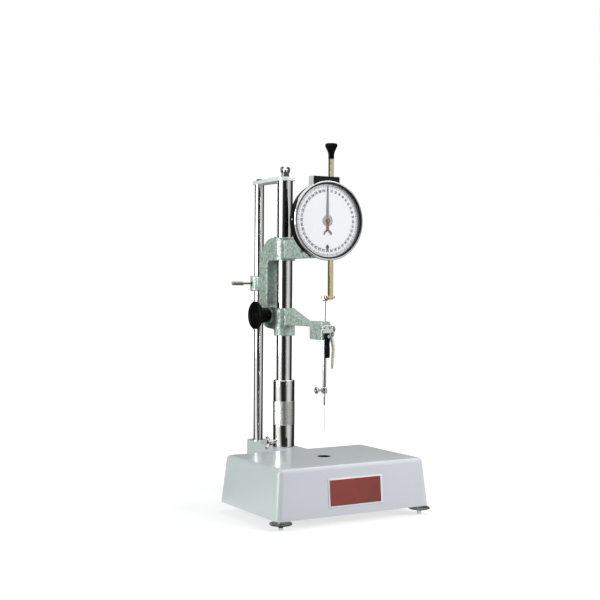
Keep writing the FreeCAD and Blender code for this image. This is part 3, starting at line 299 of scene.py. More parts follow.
def blend_colour(tree, factor, first, second):
    """Mix two colours by a pattern, through the Mix node's colour sockets."""
    mixed = node(tree, "ShaderNodeMix", [("Factor", factor)], data_type="RGBA")
    ends = [socket for socket in mixed.inputs if socket.type == "RGBA"]
    for end, colour in zip(ends, (first, second)):
        end.default_value = (*colour, 1)
    return next(out for out in mixed.outputs if out.type == "RGBA")


def bump(tree, shader, pattern, height, strength=1.0):
    """Raise the surface by a pattern; height is the real relief in millimetres."""
    raised = node(tree, "ShaderNodeBump", [
        ("Height", pattern), ("Distance", height * MM), ("Strength", strength)])
    tree.links.new(raised.outputs["Normal"], shader.inputs["Normal"])


def enamel(name, first, second, rough, orange_peel=0.03, grain=220.0, **sockets):
    """Stoved paint: slow drift between two tones, patchy gloss, and a faint orange peel."""
    material, tree, shader = finish_tree(name, first, rough, **sockets)
    drift = noise(tree, 16.0, 3.0)
    tree.links.new(blend_colour(tree, ramp(tree, drift, 0, 1), first, second),
                   shader.inputs["Base Color"])
    tree.links.new(ramp(tree, noise(tree, 60.0), rough - 0.05, rough + 0.07),
                   shader.inputs["Roughness"])
    bump(tree, shader, noise(tree, grain, 2.0), orange_peel)
    return material


def metal(name, colour, rough, stretch=(1, 1, 1), scale=900.0, relief=0.004, spread=0.05):
    """Bare or plated metal: fine lines drawn out along one axis, in gloss and in relief."""
    material, tree, shader = finish_tree(name, colour, rough, 1.0)
    lines = noise(tree, scale, 3.0, stretch)
    tree.links.new(ramp(tree, lines, rough, rough + spread), shader.inputs["Roughness"])
    dull = tuple(0.9 * part for part in colour)
    tree.links.new(blend_colour(tree, ramp(tree, noise(tree, 45.0, 4.0), 0, 1), colour, dull),
                   shader.inputs["Base Color"])
    bump(tree, shader, lines, relief, 0.6)
    return material


# %% [markdown]
# The base wears a glossy pale grey enamel, the carriage a hammered grey whose paint draws
# into little pools as it dries, and the gauge a black enamel. A hammered finish could be
# displaced geometry, but its dimples are far smaller than a facet, so a cell pattern drives
# both relief and shade. The recesses get painted shade: the Ambient Occlusion node says how
# open a place is, and the shade is multiplied by that.

# %% Paints
base_paint = enamel("pale_grey_enamel", (0.605, 0.625, 0.655), (0.585, 0.61, 0.63), 0.34,
                    0.010, 700.0, Coat_Weight=0.4, Coat_Roughness=0.16)
black_enamel = enamel("black_enamel", (0.004, 0.0044, 0.0044), (0.007, 0.0075, 0.0075), 0.24,
                      Specular_IOR_Level=0.2)
red_enamel = enamel("red_brown_enamel", (0.27, 0.050, 0.038), (0.20, 0.036, 0.028), 0.34)
white_enamel = enamel("white_border_enamel", (0.80, 0.80, 0.80), (0.72, 0.73, 0.74), 0.36)
# Pale grey for the gear housing's left face: painted light on the black housing.
lit_side_grey = enamel("painted_lit_side_grey", (0.62, 0.62, 0.61), (0.54, 0.54, 0.53), 0.3)
cream = enamel("cream_lever_paint", (0.80, 0.76, 0.64), (0.70, 0.67, 0.57), 0.38)


def hammer():
    """Hammered paint: cells about 3 mm wide, each a shallow pool with a raised dark rim.
    Noise moves the cells' places by up to 2.2 mm, so that no row of them shows."""
    dark, light = (0.18, 0.235, 0.21), (0.67, 0.755, 0.70)
    wander_by, cells_per_metre, painted_shade_reach = (2.2 * MM,) * 3, 310.0, 45 * MM
    material, tree, shader = finish_tree("hammered_grey", light, 0.36, 0.25,
                                         Coat_Weight=0.4, Coat_Roughness=0.32)
    where = node(tree, "ShaderNodeTexCoord").outputs["Object"]
    wander = node(tree, "ShaderNodeTexNoise", [("Vector", where), ("Scale", 260.0)])
    offset = node(tree, "ShaderNodeVectorMath",
                  [(0, wander.outputs["Color"]), (1, wander_by)], operation="MULTIPLY")
    moved = node(tree, "ShaderNodeVectorMath", [(0, where), (1, offset.outputs[0])],
                 operation="ADD")
    cells = node(tree, "ShaderNodeTexVoronoi", [
        ("Vector", moved.outputs[0]), ("Scale", cells_per_metre)], feature="SMOOTH_F1")
    pool = ramp(tree, cells.outputs["Distance"], 1, 0, 0.1, 0.75)
    # Painted shade: the cells' colour darkens where the Ambient Occlusion node finds the
    # casting closed in, as inside the carriage's window.
    painted_shade_ao = node(tree, "ShaderNodeAmbientOcclusion", [("Distance", painted_shade_reach)], samples=8)
    painted_shade = ramp(tree, painted_shade_ao.outputs["AO"], 0.25, 1.0, 0.45, 0.95)
    shade = node(tree, "ShaderNodeMath", [(0, pool), (1, painted_shade)], operation="MULTIPLY")
    tree.links.new(blend_colour(tree, shade.outputs[0], dark, light),
                   shader.inputs["Base Color"])
    tree.links.new(ramp(tree, cells.outputs["Distance"], 0.30, 0.48, 0.1, 0.8),
                   shader.inputs["Roughness"])
    bump(tree, shader, pool, 0.22, 0.8)
    return material


hammered = hammer()
print("paints:", [m.name for m in (base_paint, black_enamel, red_enamel, white_enamel, cream)])

# %% [markdown]
# The metals differ in finish: bright chrome on the column, rods and bezel, duller plating on
# the screws, drawn brass on the gauge rod. Chrome could be a perfect mirror, but fine
# polishing lines round the column keep its stripes from looking painted.

# %% Metals, plastics and glass
chrome = metal("bright_chrome", (0.90, 0.90, 0.89), 0.06, (1, 1, 14), 260.0, 0.00005, 0.01)
flat_chrome = metal("polished_plate", (0.84, 0.85, 0.85), 0.10, (1, 14, 1), 300.0, 0.002, 0.07)
pale_plate = enamel("pale_plated_cast", (0.90, 0.90, 0.89), (0.84, 0.84, 0.83), 0.30, 0.006,
                    500.0, Metallic=0.15)
plated = metal("dull_plating", (0.62, 0.63, 0.63), 0.22, (1, 1, 6), 900.0, 0.004, 0.12)
dark_steel = metal("dark_steel", (0.16, 0.16, 0.16), 0.30, (1, 1, 3), 800.0, 0.004, 0.15)
old_brass = metal("tarnished_brass", (0.47, 0.45, 0.37), 0.34, (5, 1, 1), 900.0, 0.004, 0.15)
brass = metal("drawn_brass", (0.80, 0.68, 0.42), 0.20, (9, 9, 1), 700.0, 0.003, 0.12)
knurled = metal("knurled_chrome", (0.80, 0.80, 0.77), 0.24, (1, 1, 3), 500.0, 0.004, 0.1)
needle_steel = metal("needle_steel", (0.66, 0.67, 0.67), 0.14, (1, 1, 8), 900.0, 0.002, 0.1)


def moulded(name, colour, rough):
    """Pressed black plastic: a fine pebbled skin with greyer, duller handled patches."""
    material, tree, shader = finish_tree(name, colour, rough, Specular_IOR_Level=0.05)
    worn = ramp(tree, noise(tree, 70.0, 5.0), 0, 1, 0.45, 0.75)
    grey = tuple(part + 0.004 for part in colour)
    tree.links.new(blend_colour(tree, worn, colour, grey), shader.inputs["Base Color"])
    tree.links.new(ramp(tree, worn, rough, rough + 0.15, 0, 1), shader.inputs["Roughness"])
    bump(tree, shader, noise(tree, 1400.0, 2.0), 0.015)
    return material


black_plastic = moulded("black_phenolic", (0.003, 0.0034, 0.003), 0.24)
dial_white = enamel("dial_white", (0.92, 0.92, 0.915), (0.90, 0.90, 0.90), 0.42, 0.004)
ink = enamel("dial_ink", (0.02, 0.02, 0.024), (0.035, 0.035, 0.04), 0.5, 0.002)
hand_grey = enamel("hand_grey", (0.26, 0.25, 0.255), (0.32, 0.31, 0.31), 0.4, 0.004)
hand_maroon = enamel("hand_maroon", (0.17, 0.055, 0.045), (0.12, 0.045, 0.04), 0.35, 0.004)


def window_glass():
    """Flat glass: nearly clear by alpha, with a plain surface gloss and faint smears."""
    material, tree, shader = finish_tree("dial_window", (0.95, 0.97, 0.97), 0.03,
                                         Alpha=0.04, Specular_IOR_Level=0.2)
    smears = noise(tree, 30.0, 4.0, (1, 1, 3))
    tree.links.new(ramp(tree, smears, 0.02, 0.07), shader.inputs["Roughness"])
    return material


glass = window_glass()
print("metals and plastics ready")

# %% [markdown]
# Solids that are already right, such as bushes, pins and screws, keep their own meshes and
# only change finish. One table says which finish goes on which, and four pairs of slot and
# finish, which most new pieces share, get names.

# %% Give every solid its finish
FINISHES = {
    "base_paint": base_paint, "hammertone": hammered, "bright_chrome": chrome,
    "plated_steel": plated, "dark_steel": dark_steel, "black_plastic": black_plastic,
    "black_enamel": black_enamel, "dial_white": dial_white, "pointer_grey": hand_grey,
    "gauge_brass": brass, "lever_cream": cream, "glass": glass, "plate_red": red_enamel}
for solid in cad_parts.values():
    for place in solid.material_slots:
        place.material = FINISHES[place.material.name.split(".")[0]]
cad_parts["rod_screw"].material_slots[0].material = black_enamel
CHROME, PLATED = ("bright_chrome", chrome), ("plated_steel", plated)
ENAMEL, PLASTIC = ("black_enamel", black_enamel), ("black_plastic", black_plastic)
print("finishes given to", len(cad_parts), "solids")

# %% [markdown]
# ## The castings
# The base is a hollow iron box with sloping sides, a rounded shoulder and a tongue at the
# back. The carriage is one casting too. Both could be modelled again from boxes, but their
# solids carry every boss and window already, so each gets a welded skin whose corners a
# Bevel rounds as foundry work is. The base's walls stand a little steeper than the solid's,
# so a formula moves its points before the Bevel sees them.

# %% Base and carriage
BASE_WIDE, BASE_DEEP, BASE_LOW, BASE_HIGH = 133.0, 94.0, 14.0, 73.0
BASE_DRAFT, EASED_DRAFT, FADE = 12.0, 6.5, 26.0
WALL_BAND, SCREW_X, SCREW_Y, SCREW_ROOM, SCREW_SHARE = 9.0, 122.0, 83.0, 6.0, 0.3


def ease_draft(mesh):
    """Stand the base's walls up: a point of an outer wall moves outwards by the drafts'
    difference times its share of the wall's height. The move fades out behind the rear wall,
    so that the tongue stays where it is, and the screws' bosses don't move."""
    points = np.empty(len(mesh.vertices) * 3)
    mesh.vertices.foreach_get("co", points)
    points = points.reshape(-1, 3)
    x, y, z = (points - NEEDLE).T / MM
    share = np.clip((z - BASE_LOW) / BASE_HIGH, 0, 1)
    side, back = BASE_WIDE - BASE_DRAFT * share, BASE_DEEP - BASE_DRAFT * share
    screw = np.hypot(np.abs(x) - SCREW_X, np.abs(y) - SCREW_Y) < SCREW_ROOM
    out = (BASE_DRAFT - EASED_DRAFT) * share * ~(screw & (share < SCREW_SHARE)) * MM
    points[:, 0] += np.sign(x) * out * (np.abs(x) > side - WALL_BAND)
    points[:, 1] += np.sign(y) * out * (np.abs(y) > back - WALL_BAND) * np.clip(
        1 - (y - back) / FADE, 0, 1)
    mesh.vertices.foreach_set("co", points.ravel())
    mesh.update()


# The top's rounding meets the tongue in a sliver, so the base's bevel is clamped.
base = dress("base_casting", "stand", "base_paint", base_paint, 0.8, 24, clamped=True)
ease_draft(base.data)
base.visible_glossy = False
dress("carriage_casting", "carriage", "hammertone", hammered, 1.5, 24, segments=3)

# %% [markdown]
# The locating hole under the needle is lined in black as painted shade of its wall and
# chamfer, so it reads as a dark line from the side: a thin turned ring, let into the hole.

# %% Painted shade lining the locating hole
# Painted shade: a black ring with a chamfer lines the hole's wall.
lathe("hole_shade_lining", [
    (9.2, -6.0), (10.95, -6.0), (10.95, -0.25), (10.6, 0.0), (10.2, -0.2), (9.2, -1.2),
    (9.2, -6.0)], NEEDLE + (0, 0, BASE_TOP), "stand", *PLASTIC, count=96, bite=0.2)

# %% [markdown]
# ## Column, rod and sleeve
# These are centreless-ground bars and a turned tube. The column keeps its solid because the
# rack is milled in its back, and a thin sheath over the rest of it carries the plating. The
# rod and the sleeve are turned afresh with small chamfers, so that their ends catch the light
# as a lathe leaves them.

# %% Mast
dress("column", "stand", *CHROME)


def sheath(origin, radius, wall, low, high, first, last, count=140):
    """Part of a thin tube: a rectangle of wall by height carried round an arc from first to
    last degrees, closed at both ends by rows that shrink on the rectangle's middle."""
    angle = np.radians(np.linspace(first, last, count))
    angle = np.concatenate([angle[:1], angle, angle[-1:]])[:, None]
    r = np.tile([radius - wall, radius, radius, radius - wall], (len(angle), 1))
    z = np.tile([low, low, high, high], (len(angle), 1))
    r[[0, -1]], z[[0, -1]] = radius - wall / 2, (low + high) / 2
    points = np.asarray(origin) + MM * np.stack([r * np.cos(angle), r * np.sin(angle), z], -1)
    return points.reshape(-1, 3), grid_faces(len(angle), 4)


piece("column_plating", [sheath(
    COLUMN, radius=12.73, wall=0.4, low=BASE_TOP / MM + 90,
    high=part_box("top_plate")[0][2] / MM - 0.1, first=125, last=415)],
    "stand", *CHROME)
rod_low, rod_high = (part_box("guide_rod")[k][2] / MM for k in (0, 1))
lathe("guide_rod_bar", [
    (0, rod_low), (6.9, rod_low), (7.95, rod_low + 1), (7.95, rod_high), (0, rod_high)],
    ROD, "stand", *CHROME, "guide_rod", count=96, bite=0.3)
lathe("sleeve_tube", [
    (12.78, 0), (17.0, 0), (17.6, 0.6), (17.6, 35.6), (17.2, 36), (17.2, 74.5), (17.6, 74.9),
    (17.6, 107.8), (16.6, 109), (12.78, 109), (12.78, 0)], COLUMN + (0, 0, BASE_TOP),
    "stand", *CHROME, "column_sleeve", count=112, bite=0.35)
dress("top_plate", "stand", "bright_chrome", pale_plate, 0.5)

# %% [markdown]
# ## Wings
# A wing nut is a turned boss with two cast ears that curl outwards. The ears could be
# extruded outlines, but a rounded section carried up a curved path gives the thick root,
# thin neck and fat tip of a real casting.

# %% Wing nut and wing screw


def wing(side, line, wide, deep, origin, axes, depth_axis):
    """One ear: a smooth line of (outwards, up) points in mm, mirrored by side, with a
    section that swells to wide by deep and closes at both ends."""
    path = smooth_line(line, 26)
    u, v, w = np.array(axes, float)
    points = np.asarray(origin) + MM * (side * path[:, :1] * u + path[:, 1:] * w)
    t = np.linspace(0, 1, len(path))
    swell = np.sqrt(np.clip(1 - np.abs(2 * t - 1) ** 6, 0, 1)) * np.interp(
        t, [0, 0.45, 0.85, 1], [1.0, 0.72, 1.05, 1.0])
    return carried(points, wide * MM * swell, deep * MM * np.sqrt(np.clip(swell, 0, 1)),
                   depth_axis, 0.9)


NUT_AT = COLUMN + (0, 0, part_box("wing_nut")[0][2])
EAR = [(3.9, 6.6), (5.7, 8.4), (7.2, 11.2), (7.0, 14.2), (5.3, 16.0), (3.3, 15.2)]
piece("wing_nut_cast", [
    turned([(5.05, 0), (6.6, 0), (6.4, 2.0), (5.8, 9.0), (5.05, 9.5), (5.05, 0)], NUT_AT,
           count=48, bite=0.5),
    *[wing(side, EAR, 1.9, 2.9, NUT_AT, UP, (0, 1, 0)) for side in (1, -1)]],
    "top_nut", "plated_steel", dark_steel, "wing_nut")
SCREW_AT = COLUMN + (0, 0, BASE_TOP + 8 * MM)
HAND = [(2.2, 28.0), (5.2, 27.4), (8.2, 29.6), (9.0, 33.4)]
piece("sleeve_wing_cast", [
    turned([(0, 12.8), (3, 12.8), (3, 21.9), (5, 21.9), (5, 25.4), (4, 29.4), (0, 29.4)],
           SCREW_AT, LEFT, 48, 0.6),
    *[wing(side, HAND, 2.9, 2.4, SCREW_AT, (UP[2], UP[1], LEFT[2]), (0, 1, 0))
      for side in (1, -1)]], "sleeve_screw", "plated_steel", chrome, "sleeve_wing_screw")

# %% [markdown]
# ## Levelling feet
# Each foot is a screw with a knurled wheel. The thread is a formula too: the radius falls
# and rises with height minus the turn, which is what a screw thread is.

# %% Levelling screws and wheels


def knurl(teeth, depth, above):
    """Straight knurling: radius loses depth x (1 - cos(teeth x angle)) / 2 where it is
    larger than above."""
    return lambda r, h, a: r - depth * (0.5 - 0.5 * np.cos(teeth * a)) * (r > above)


def thread(pitch, depth, low, high):
    """A screw thread between two heights: a rounded saw of (height / pitch - turn)."""
    def press(r, h, a):
        phase = (h / pitch - a / (2 * math.pi)) % 1.0
        cut = depth * np.abs(2 * phase - 1)
        return r - cut * (h > low) * (h < high)
    return press


for side in ("left", "right", "rear"):
    spot = middle("level_screw_" + side) * (1, 1, 0)
    stud = [(0, 0), (2.5, 0), (3.5, 1), (3.5, 8), (4, 8)]
    stud += [(4, z) for z in np.arange(8.2, 32.8, 0.3)] + [(4, 33), (0, 33)]
    lathe("foot_screw_" + side, stud, spot, side + "_foot", *PLATED, "level_screw_" + side,
          crease=60, count=40, bite=0.05, steps=2,
          press=thread(pitch=1.5, depth=0.45, low=11.2, high=32.0))
    rim = [(4.05, 8.05), (14.9, 8.05), (16.5, 8.6), (16.5, 10.4), (15.0, 10.95),
           (8.0, 10.95), (7.6, 10.6), (4.05, 10.6), (4.05, 8.05)]
    # The wheels take the dark steel finish as painted shade and painted reflection: they sit
    # under the base and mirror its dark underside.
    lathe("foot_wheel_" + side, rim, spot, side + "_foot", "plated_steel", dark_steel,
          "level_wheel_" + side, count=288, bite=0.35, steps=3,
          press=knurl(teeth=72, depth=0.35, above=15.6))

# %% [markdown]
# ## Winding knob
# The knob on the left winds the carriage. It is a fat hub under a thin fluted disc, pressed
# in black phenolic. Each flute is a round cutter whose centre lies outside the rim, so the
# rim's radius is where a ray meets that circle.

# %% Feed knob


def flutes(count, cutter, away, above):
    """Round flutes: inside a cutter's shadow the radius is D cos(a) - sqrt(c^2 - D^2
    sin(a)^2), with a measured from the nearest cutter, D its distance and c its radius."""
    def press(r, h, a):
        near = (a + math.pi / count) % (2 * math.pi / count) - math.pi / count
        under = np.clip(cutter ** 2 - (away * np.sin(near)) ** 2, 0, None)
        edge = away * np.cos(near) - np.sqrt(under)
        return np.where((r > above) & (under > 0), np.minimum(r, edge), r)
    return press


lathe("feed_knob_moulding", [
    (4.05, 19.8), (8.2, 19.8), (9.6, 20.7), (11.3, 23.2), (12.2, 26.5), (12.8, 31.0),
    (13.4, 37.0), (15.2, 41.2), (21.6, 41.2), (23.2, 42.7), (23.2, 45.0), (21.4, 46.6),
    (18.0, 47), (16.5, 46.2), (7.0, 45.8), (5.5, 46.4), (4.6, 46.0), (0, 46.0)], FEED,
    "feed_drive", *PLASTIC, "feed_knob", axes=LEFT, count=288, bite=0.7,
    press=flutes(count=12, cutter=3.5, away=25.825, above=20.0))

# %% [markdown]
# ## Clamp screw on the rear rod
# A slim steel screw with a long handled grip. Diamond knurling is two families of grooves
# that wind opposite ways, so the depth is the larger of two slanted waves.

# %% Guide clamp screw


def diamonds(teeth, pitch, depth, low, high):
    """Diamond knurling: two waves of (teeth x angle +- 2 pi height / pitch)."""
    def press(r, h, a):
        turn = 2 * math.pi * h / pitch
        first = 0.5 - 0.5 * np.cos(teeth * a + turn)
        second = 0.5 - 0.5 * np.cos(teeth * a - turn)
        fade = np.clip((h - low) / 0.5, 0, 1) * np.clip((high - h) / 0.5, 0, 1)
        return r - depth * np.maximum(first, second) * fade * (r > 2.0)
    return press


grip_line = [(0, 8.0), (1.75, 8.0), (1.75, 30), (2.6, 30), (3.3, 31)]
grip_line += [(3.3, z) for z in np.arange(31.2, 49.9, 0.2)] + [(3.3, 50), (2.6, 51), (0, 51)]
lathe("guide_clamp_grip", grip_line, middle("guide_clamp_screw") * (0, 1, 1),
      "guide_clamp", "plated_steel", old_brass, "guide_clamp_screw", crease=70, axes=LEFT,
      count=144, bite=0.06, steps=2,
      press=diamonds(teeth=24, pitch=0.9, depth=0.22, low=31.4, high=49.6))

# %% [markdown]
# The sleeve's middle is knurled in diamonds too, so that a hand can turn it, and stands a
# little proud of the polished ends. So fine a knurl reads as a satin band.

# %% Knurled band of the sleeve
band = [(17.1, 36.0), (17.5, 36.0)] + [(17.95, z) for z in np.arange(36.4, 74.2, 0.36)]
band += [(17.5, 74.5), (17.1, 74.5), (17.1, 36.0)]
lathe("sleeve_knurl", band, COLUMN + (0, 0, BASE_TOP), "stand", "bright_chrome", knurled,
      crease=80, count=320, bite=0.02, steps=2,
      press=diamonds(teeth=64, pitch=1.7, depth=0.32, low=36.4, high=74.1))

# %% [markdown]
# ## The gauge
# The gauge is a shallow black case with a chromed bezel, a white face under flat glass, a
# gear housing over its rim whose left side carries a pale grey plate of painted light, and a
# square brass rod through it.
# The bezel could be a torus, but a spun bezel has a rolled lip and a flat, so it is turned.

# %% Case, bezel, housing, bracket
ROUND = dict(axes=FRONT, count=240)
dress("gauge_case", "carriage", *ENAMEL, 0.5)
lathe("bezel_ring", [
    (58.6, 10.6), (61.35, 10.6), (61.4, 11.4), (61.4, 14.8), (61.0, 16.3), (60.0, 17.0),
    (59.0, 16.8), (58.6, 16.2), (58.6, 10.6)], DIAL, "carriage", *CHROME, "gauge_bezel",
    bite=0.5, **ROUND)
# The bezel's inner wall is black enamel: painted shadow and painted dark reflection, which show
# as a black crescent inside the bezel.
lathe("bezel_throat_painted_dark", [
    (58.62, 14.1), (58.62, 16.2), (58.3, 16.7), (57.9, 16.6), (57.2, 13.0), (57.4, 13.0),
    (57.6, 14.1), (58.62, 14.1)], DIAL, "carriage", *ENAMEL, bite=0.15, **ROUND)
lathe("dial_rim", [(56.5, 11.05), (57.2, 11.05), (57.2, 13.0), (56.9, 13.0), (56.5, 11.05)],
      DIAL, "carriage", "dial_white", dial_white, bite=0.15, **ROUND)
lathe("case_shoulder", [
    (48, 0.5), (48, -6.3), (56.6, -6.3), (58.5, -4.8), (58.5, 0.5), (48, 0.5)], DIAL,
    "carriage", *ENAMEL, bite=0.8, **ROUND)
lathe("case_side_screw", [(0, 57.5), (1.7, 57.5), (1.7, 58.9), (1.2, 59.8), (0, 60.0)],
      DIAL + (0, -3.5 * MM, 0), "carriage", *PLATED, axes=LEFT, count=40, bite=0.5)
lathe("dial_window", [(0, 14.1), (56.95, 14.1), (57.2, 14.6), (0, 14.6)], DIAL, "carriage",
      "glass", glass, "dial_glass", axes=FRONT, count=160, bite=0.1)
dress("gear_housing", "carriage", *ENAMEL, 0.7)
# Painted light: a thin pale grey plate on the housing's left face stands for that side as the
# left lamp lights it.
LIT_SIDE_RIM, LIT_SIDE_PROUD, LIT_SIDE_THICK = 0.4, 0.35, 0.6
low, high = (np.array(corner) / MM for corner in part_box("gear_housing"))
sides = (low[1] + LIT_SIDE_RIM, high[1] - LIT_SIDE_RIM)
ends = (low[2], high[2] - LIT_SIDE_RIM)
lit_side = np.array([(low[0] - LIT_SIDE_PROUD + thick, sides[y], ends[z])
                  for y, z in ((0, 0), (1, 0), (1, 1), (0, 1)) for thick in (0, LIT_SIDE_THICK)])
piece("housing_painted_lit_side", [(MM * lit_side, np.array([
    [0, 2, 4, 6], [7, 5, 3, 1], [0, 1, 3, 2], [2, 3, 5, 4], [4, 5, 7, 6], [6, 7, 1, 0]]))],
    "carriage", "plated_steel", lit_side_grey)
dress("gauge_bracket", "carriage", *ENAMEL, 0.6)
dress("gauge_rod", "gauge_plunger", "gauge_brass", brass, 0.25)
dress("contact_foot", "gauge_plunger", "gauge_brass", brass, 0.4)
KNOB_AT = middle("gauge_knob") * (1, 1, 0) + (0, 0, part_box("gauge_knob")[0][2])
lathe("gauge_knob_moulding", [
    (2.55, 0), (4.55, 0), (4.6, 7.5), (5.4, 10.6), (8.4, 17.4), (9.5, 19.0), (9.5, 22.4),
    (8.2, 24.0), (6.4, 24.0), (5.8, 23.5), (0, 23.3)], KNOB_AT, "gauge_plunger", *PLASTIC,
    "gauge_knob", count=160, bite=0.8, press=knurl(teeth=20, depth=0.5, above=6.6))

# %% [markdown]
# The face is divided in 400 parts, ten to a figure. The strokes could be a painted texture,
# but printed ink has crisp ends, so each is a thin raised bar. All of them are made at once
# by turning one bar through an array of angles.

# %% Strokes of the dial
FACE_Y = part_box("dial_plate")[0][1]
FACE_R, INK_HIGH, DIVISIONS = 55.8, 0.05, 400


def strokes(turns, inner, half):
    """Radial bars: corners at (inner or outer, -half or half) turned by each angle. Inner is
    a share of the face's radius; half the width and the height are in mm."""
    inner, outer = inner * FACE_R, 0.985 * FACE_R
    radial = np.array([inner, outer, outer, inner] * 2, float)
    cross = np.array([-half, -half, half, half] * 2, float)
    lift = np.array([-INK_HIGH] * 4 + [INK_HIGH] * 4)
    a = (turns * (2 * math.pi / DIVISIONS))[:, None]
    x = radial * np.sin(a) + cross * np.cos(a)
    z = radial * np.cos(a) - cross * np.sin(a)
    points = np.stack([DIAL[0] + MM * x, FACE_Y - MM * (lift + 0 * x), DIAL[2] + MM * z], -1)
    quads = np.array([[3, 2, 1, 0], [4, 5, 6, 7], [0, 1, 5, 4], [1, 2, 6, 5], [2, 3, 7, 6],
                      [3, 0, 4, 7]])
    faces = quads + 8 * np.arange(len(a))[:, None, None]
    return points.reshape(-1, 3), faces.reshape(-1, 4)


turns = np.arange(DIVISIONS)
tens, fives = turns % 10 == 0, turns % 10 == 5
piece("dial_strokes", [
    strokes(turns[~tens & ~fives], 0.925, 0.10), strokes(turns[fives], 0.91, 0.14),
    strokes(turns[tens], 0.895, 0.26)], "carriage", "dial_white", ink)

# %% [markdown]
# The figures are plain numerals at every tenth stroke, their tops towards the rim. Text is
# made a mesh first, then its points are turned and carried to the ring with one matrix each.

# %% Figures of the dial
DIGIT_SHARE, BOLDER, NARROWER, FIGURES = 0.7, 0.24, 0.66, 40


def figure(text, height):
    """A numeral as a thin mesh centred on the origin: its points and its faces."""
    curve = bpy.data.curves.new("figure_" + text, "FONT")
    curve.body = text
    curve.size = height / DIGIT_SHARE
    curve.align_x, curve.align_y = "CENTER", "CENTER"
    curve.resolution_u = 2
    curve.extrude = INK_HIGH / 2
    curve.offset = BOLDER
    holder = bpy.data.objects.new("figure", curve)
    mesh = bpy.data.meshes.new_from_object(holder)
    bpy.data.objects.remove(holder)
    points = np.empty(len(mesh.vertices) * 3)
    mesh.vertices.foreach_get("co", points)
    points = points.reshape(-1, 3)
    points[:, :2] -= (points[:, :2].max(0) + points[:, :2].min(0)) / 2
    faces = [tuple(face.vertices) for face in mesh.polygons]
    bpy.data.meshes.remove(mesh)
    return points, faces


def figures(name, radius, height):
    """All numerals in one mesh; each is turned so that its top points to the rim."""
    all_points, all_faces, count = [], [], 0
    for k in range(FIGURES):
        points, faces = figure(str(10 * k), height)
        a = 2 * math.pi * k / FIGURES
        across, up = points[:, 0] * NARROWER, points[:, 1] + radius
        x = across * math.cos(a) + up * math.sin(a)
        z = -across * math.sin(a) + up * math.cos(a)
        all_points.append(np.stack([DIAL[0] + MM * x, FACE_Y - MM * (points[:, 2] + 0.02),
                                    DIAL[2] + MM * z], -1))
        all_faces += [tuple(i + count for i in face) for face in faces]
        count += len(points)
    mesh = bpy.data.meshes.new(name)
    mesh.from_pydata(np.vstack(all_points).tolist(), [], all_faces)
    return tidy(mesh, reach=1e-6)


piece("dial_figures", figures("dial_figures", 0.83 * FACE_R, 4.1), "carriage",
      "dial_white", ink)

# %% [markdown]
# The hand is a long tapering blade, painted grey, with a maroon hub and tail. The tail ends
# in a crescent that balances the blade. All of these are flat sections carried along a line
# or an arc, whose width goes to nothing at the horns. A small printed lozenge stands at six
# o'clock.

# %% Pointer, hub, crescent and lozenge


def on_dial(x, z, lift):
    """Points in front of the face: x to the right, z up, lift off the face, in mm."""
    x, z = np.asarray(x, float), np.asarray(z, float)
    y = FACE_Y - MM * (lift + 0 * x)
    return np.stack([DIAL[0] + MM * x, y, DIAL[2] + MM * z], -1)


OUT = (0, 1, 0)
FACE_AT = (DIAL[0], FACE_Y, DIAL[2])
HAND_LIFT, BLADE_FROM, BLADE_TO, BOW_RADIUS, BOW_AT = 1.25, 2.6, 54.0, 6.0, -21.2
t = np.linspace(0, 1, 24)
close = np.sqrt(np.clip(1 - np.abs(2 * t - 1) ** 24, 0, 1))
blade = carried(on_dial(0 * t, BLADE_FROM + (BLADE_TO - BLADE_FROM) * t, HAND_LIFT),
                MM * close * np.interp(t, [0, 1], [2.1, 0.8]), 0.32 * MM, OUT, 0.8, 12)
piece("pointer_blade", [blade], "indicator", "pointer_grey", hand_grey, "pointer")
tail = carried(on_dial(0 * t, -2.0 - 12.8 * t, HAND_LIFT),
               MM * close * np.interp(t, [0, 0.5, 1], [2.5, 1.8, 1.9]), 0.34 * MM, OUT,
               0.35, 12)
bow = np.linspace(-1.75, 1.75, 30)
horn = carried(on_dial(BOW_RADIUS * np.sin(bow), BOW_AT + BOW_RADIUS * np.cos(bow),
                       HAND_LIFT),
               MM * 1.25 * np.sqrt(np.clip(1 - (bow / 1.76) ** 2, 0, 1)), 0.33 * MM, OUT,
               0.5, 12)
boss = turned([(1.2, 0.8), (3.4, 0.8), (3.4, 2.0), (2.7, 2.4), (1.2, 2.4), (1.2, 0.8)],
              FACE_AT, FRONT, 48, 0.3)
piece("pointer_tail", [tail, horn, boss], "indicator", "pointer_grey", hand_maroon)
span = np.linspace(-1, 1, 13)
lozenge = carried(on_dial(0 * span, -40.9 + 4.4 * span, 0.0),
                  MM * 3.2 * np.clip(1 - np.abs(span), 0, 1) ** 0.65, INK_HIGH * MM, OUT,
                  0.6, 8)
piece("dial_lozenge", [lozenge], "carriage", "dial_white", ink)
lathe("pointer_washer", [
    (1.75, 0.0), (9.0, 0.0), (9.0, 0.25), (8.0, 0.6), (1.75, 0.65), (1.75, 0.0)], FACE_AT,
    "carriage", "bright_chrome", plated, axes=FRONT, count=64, bite=0.15)

# %% [markdown]
# ## Needle, chuck and clutch
# The needle hangs from a small chuck on the plunger rod. These are lathe work, and the
# chuck's screw has a straight knurl. The clutch has a bright plate, a black grip and a bowed
# cream lever, whose solids only get rounded corners.

# %% Plunger, chuck and needle


def foot_of(solid):
    """The point of the needle's axis at a solid's lower end."""
    return NEEDLE + (0, 0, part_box(solid)[0][2])


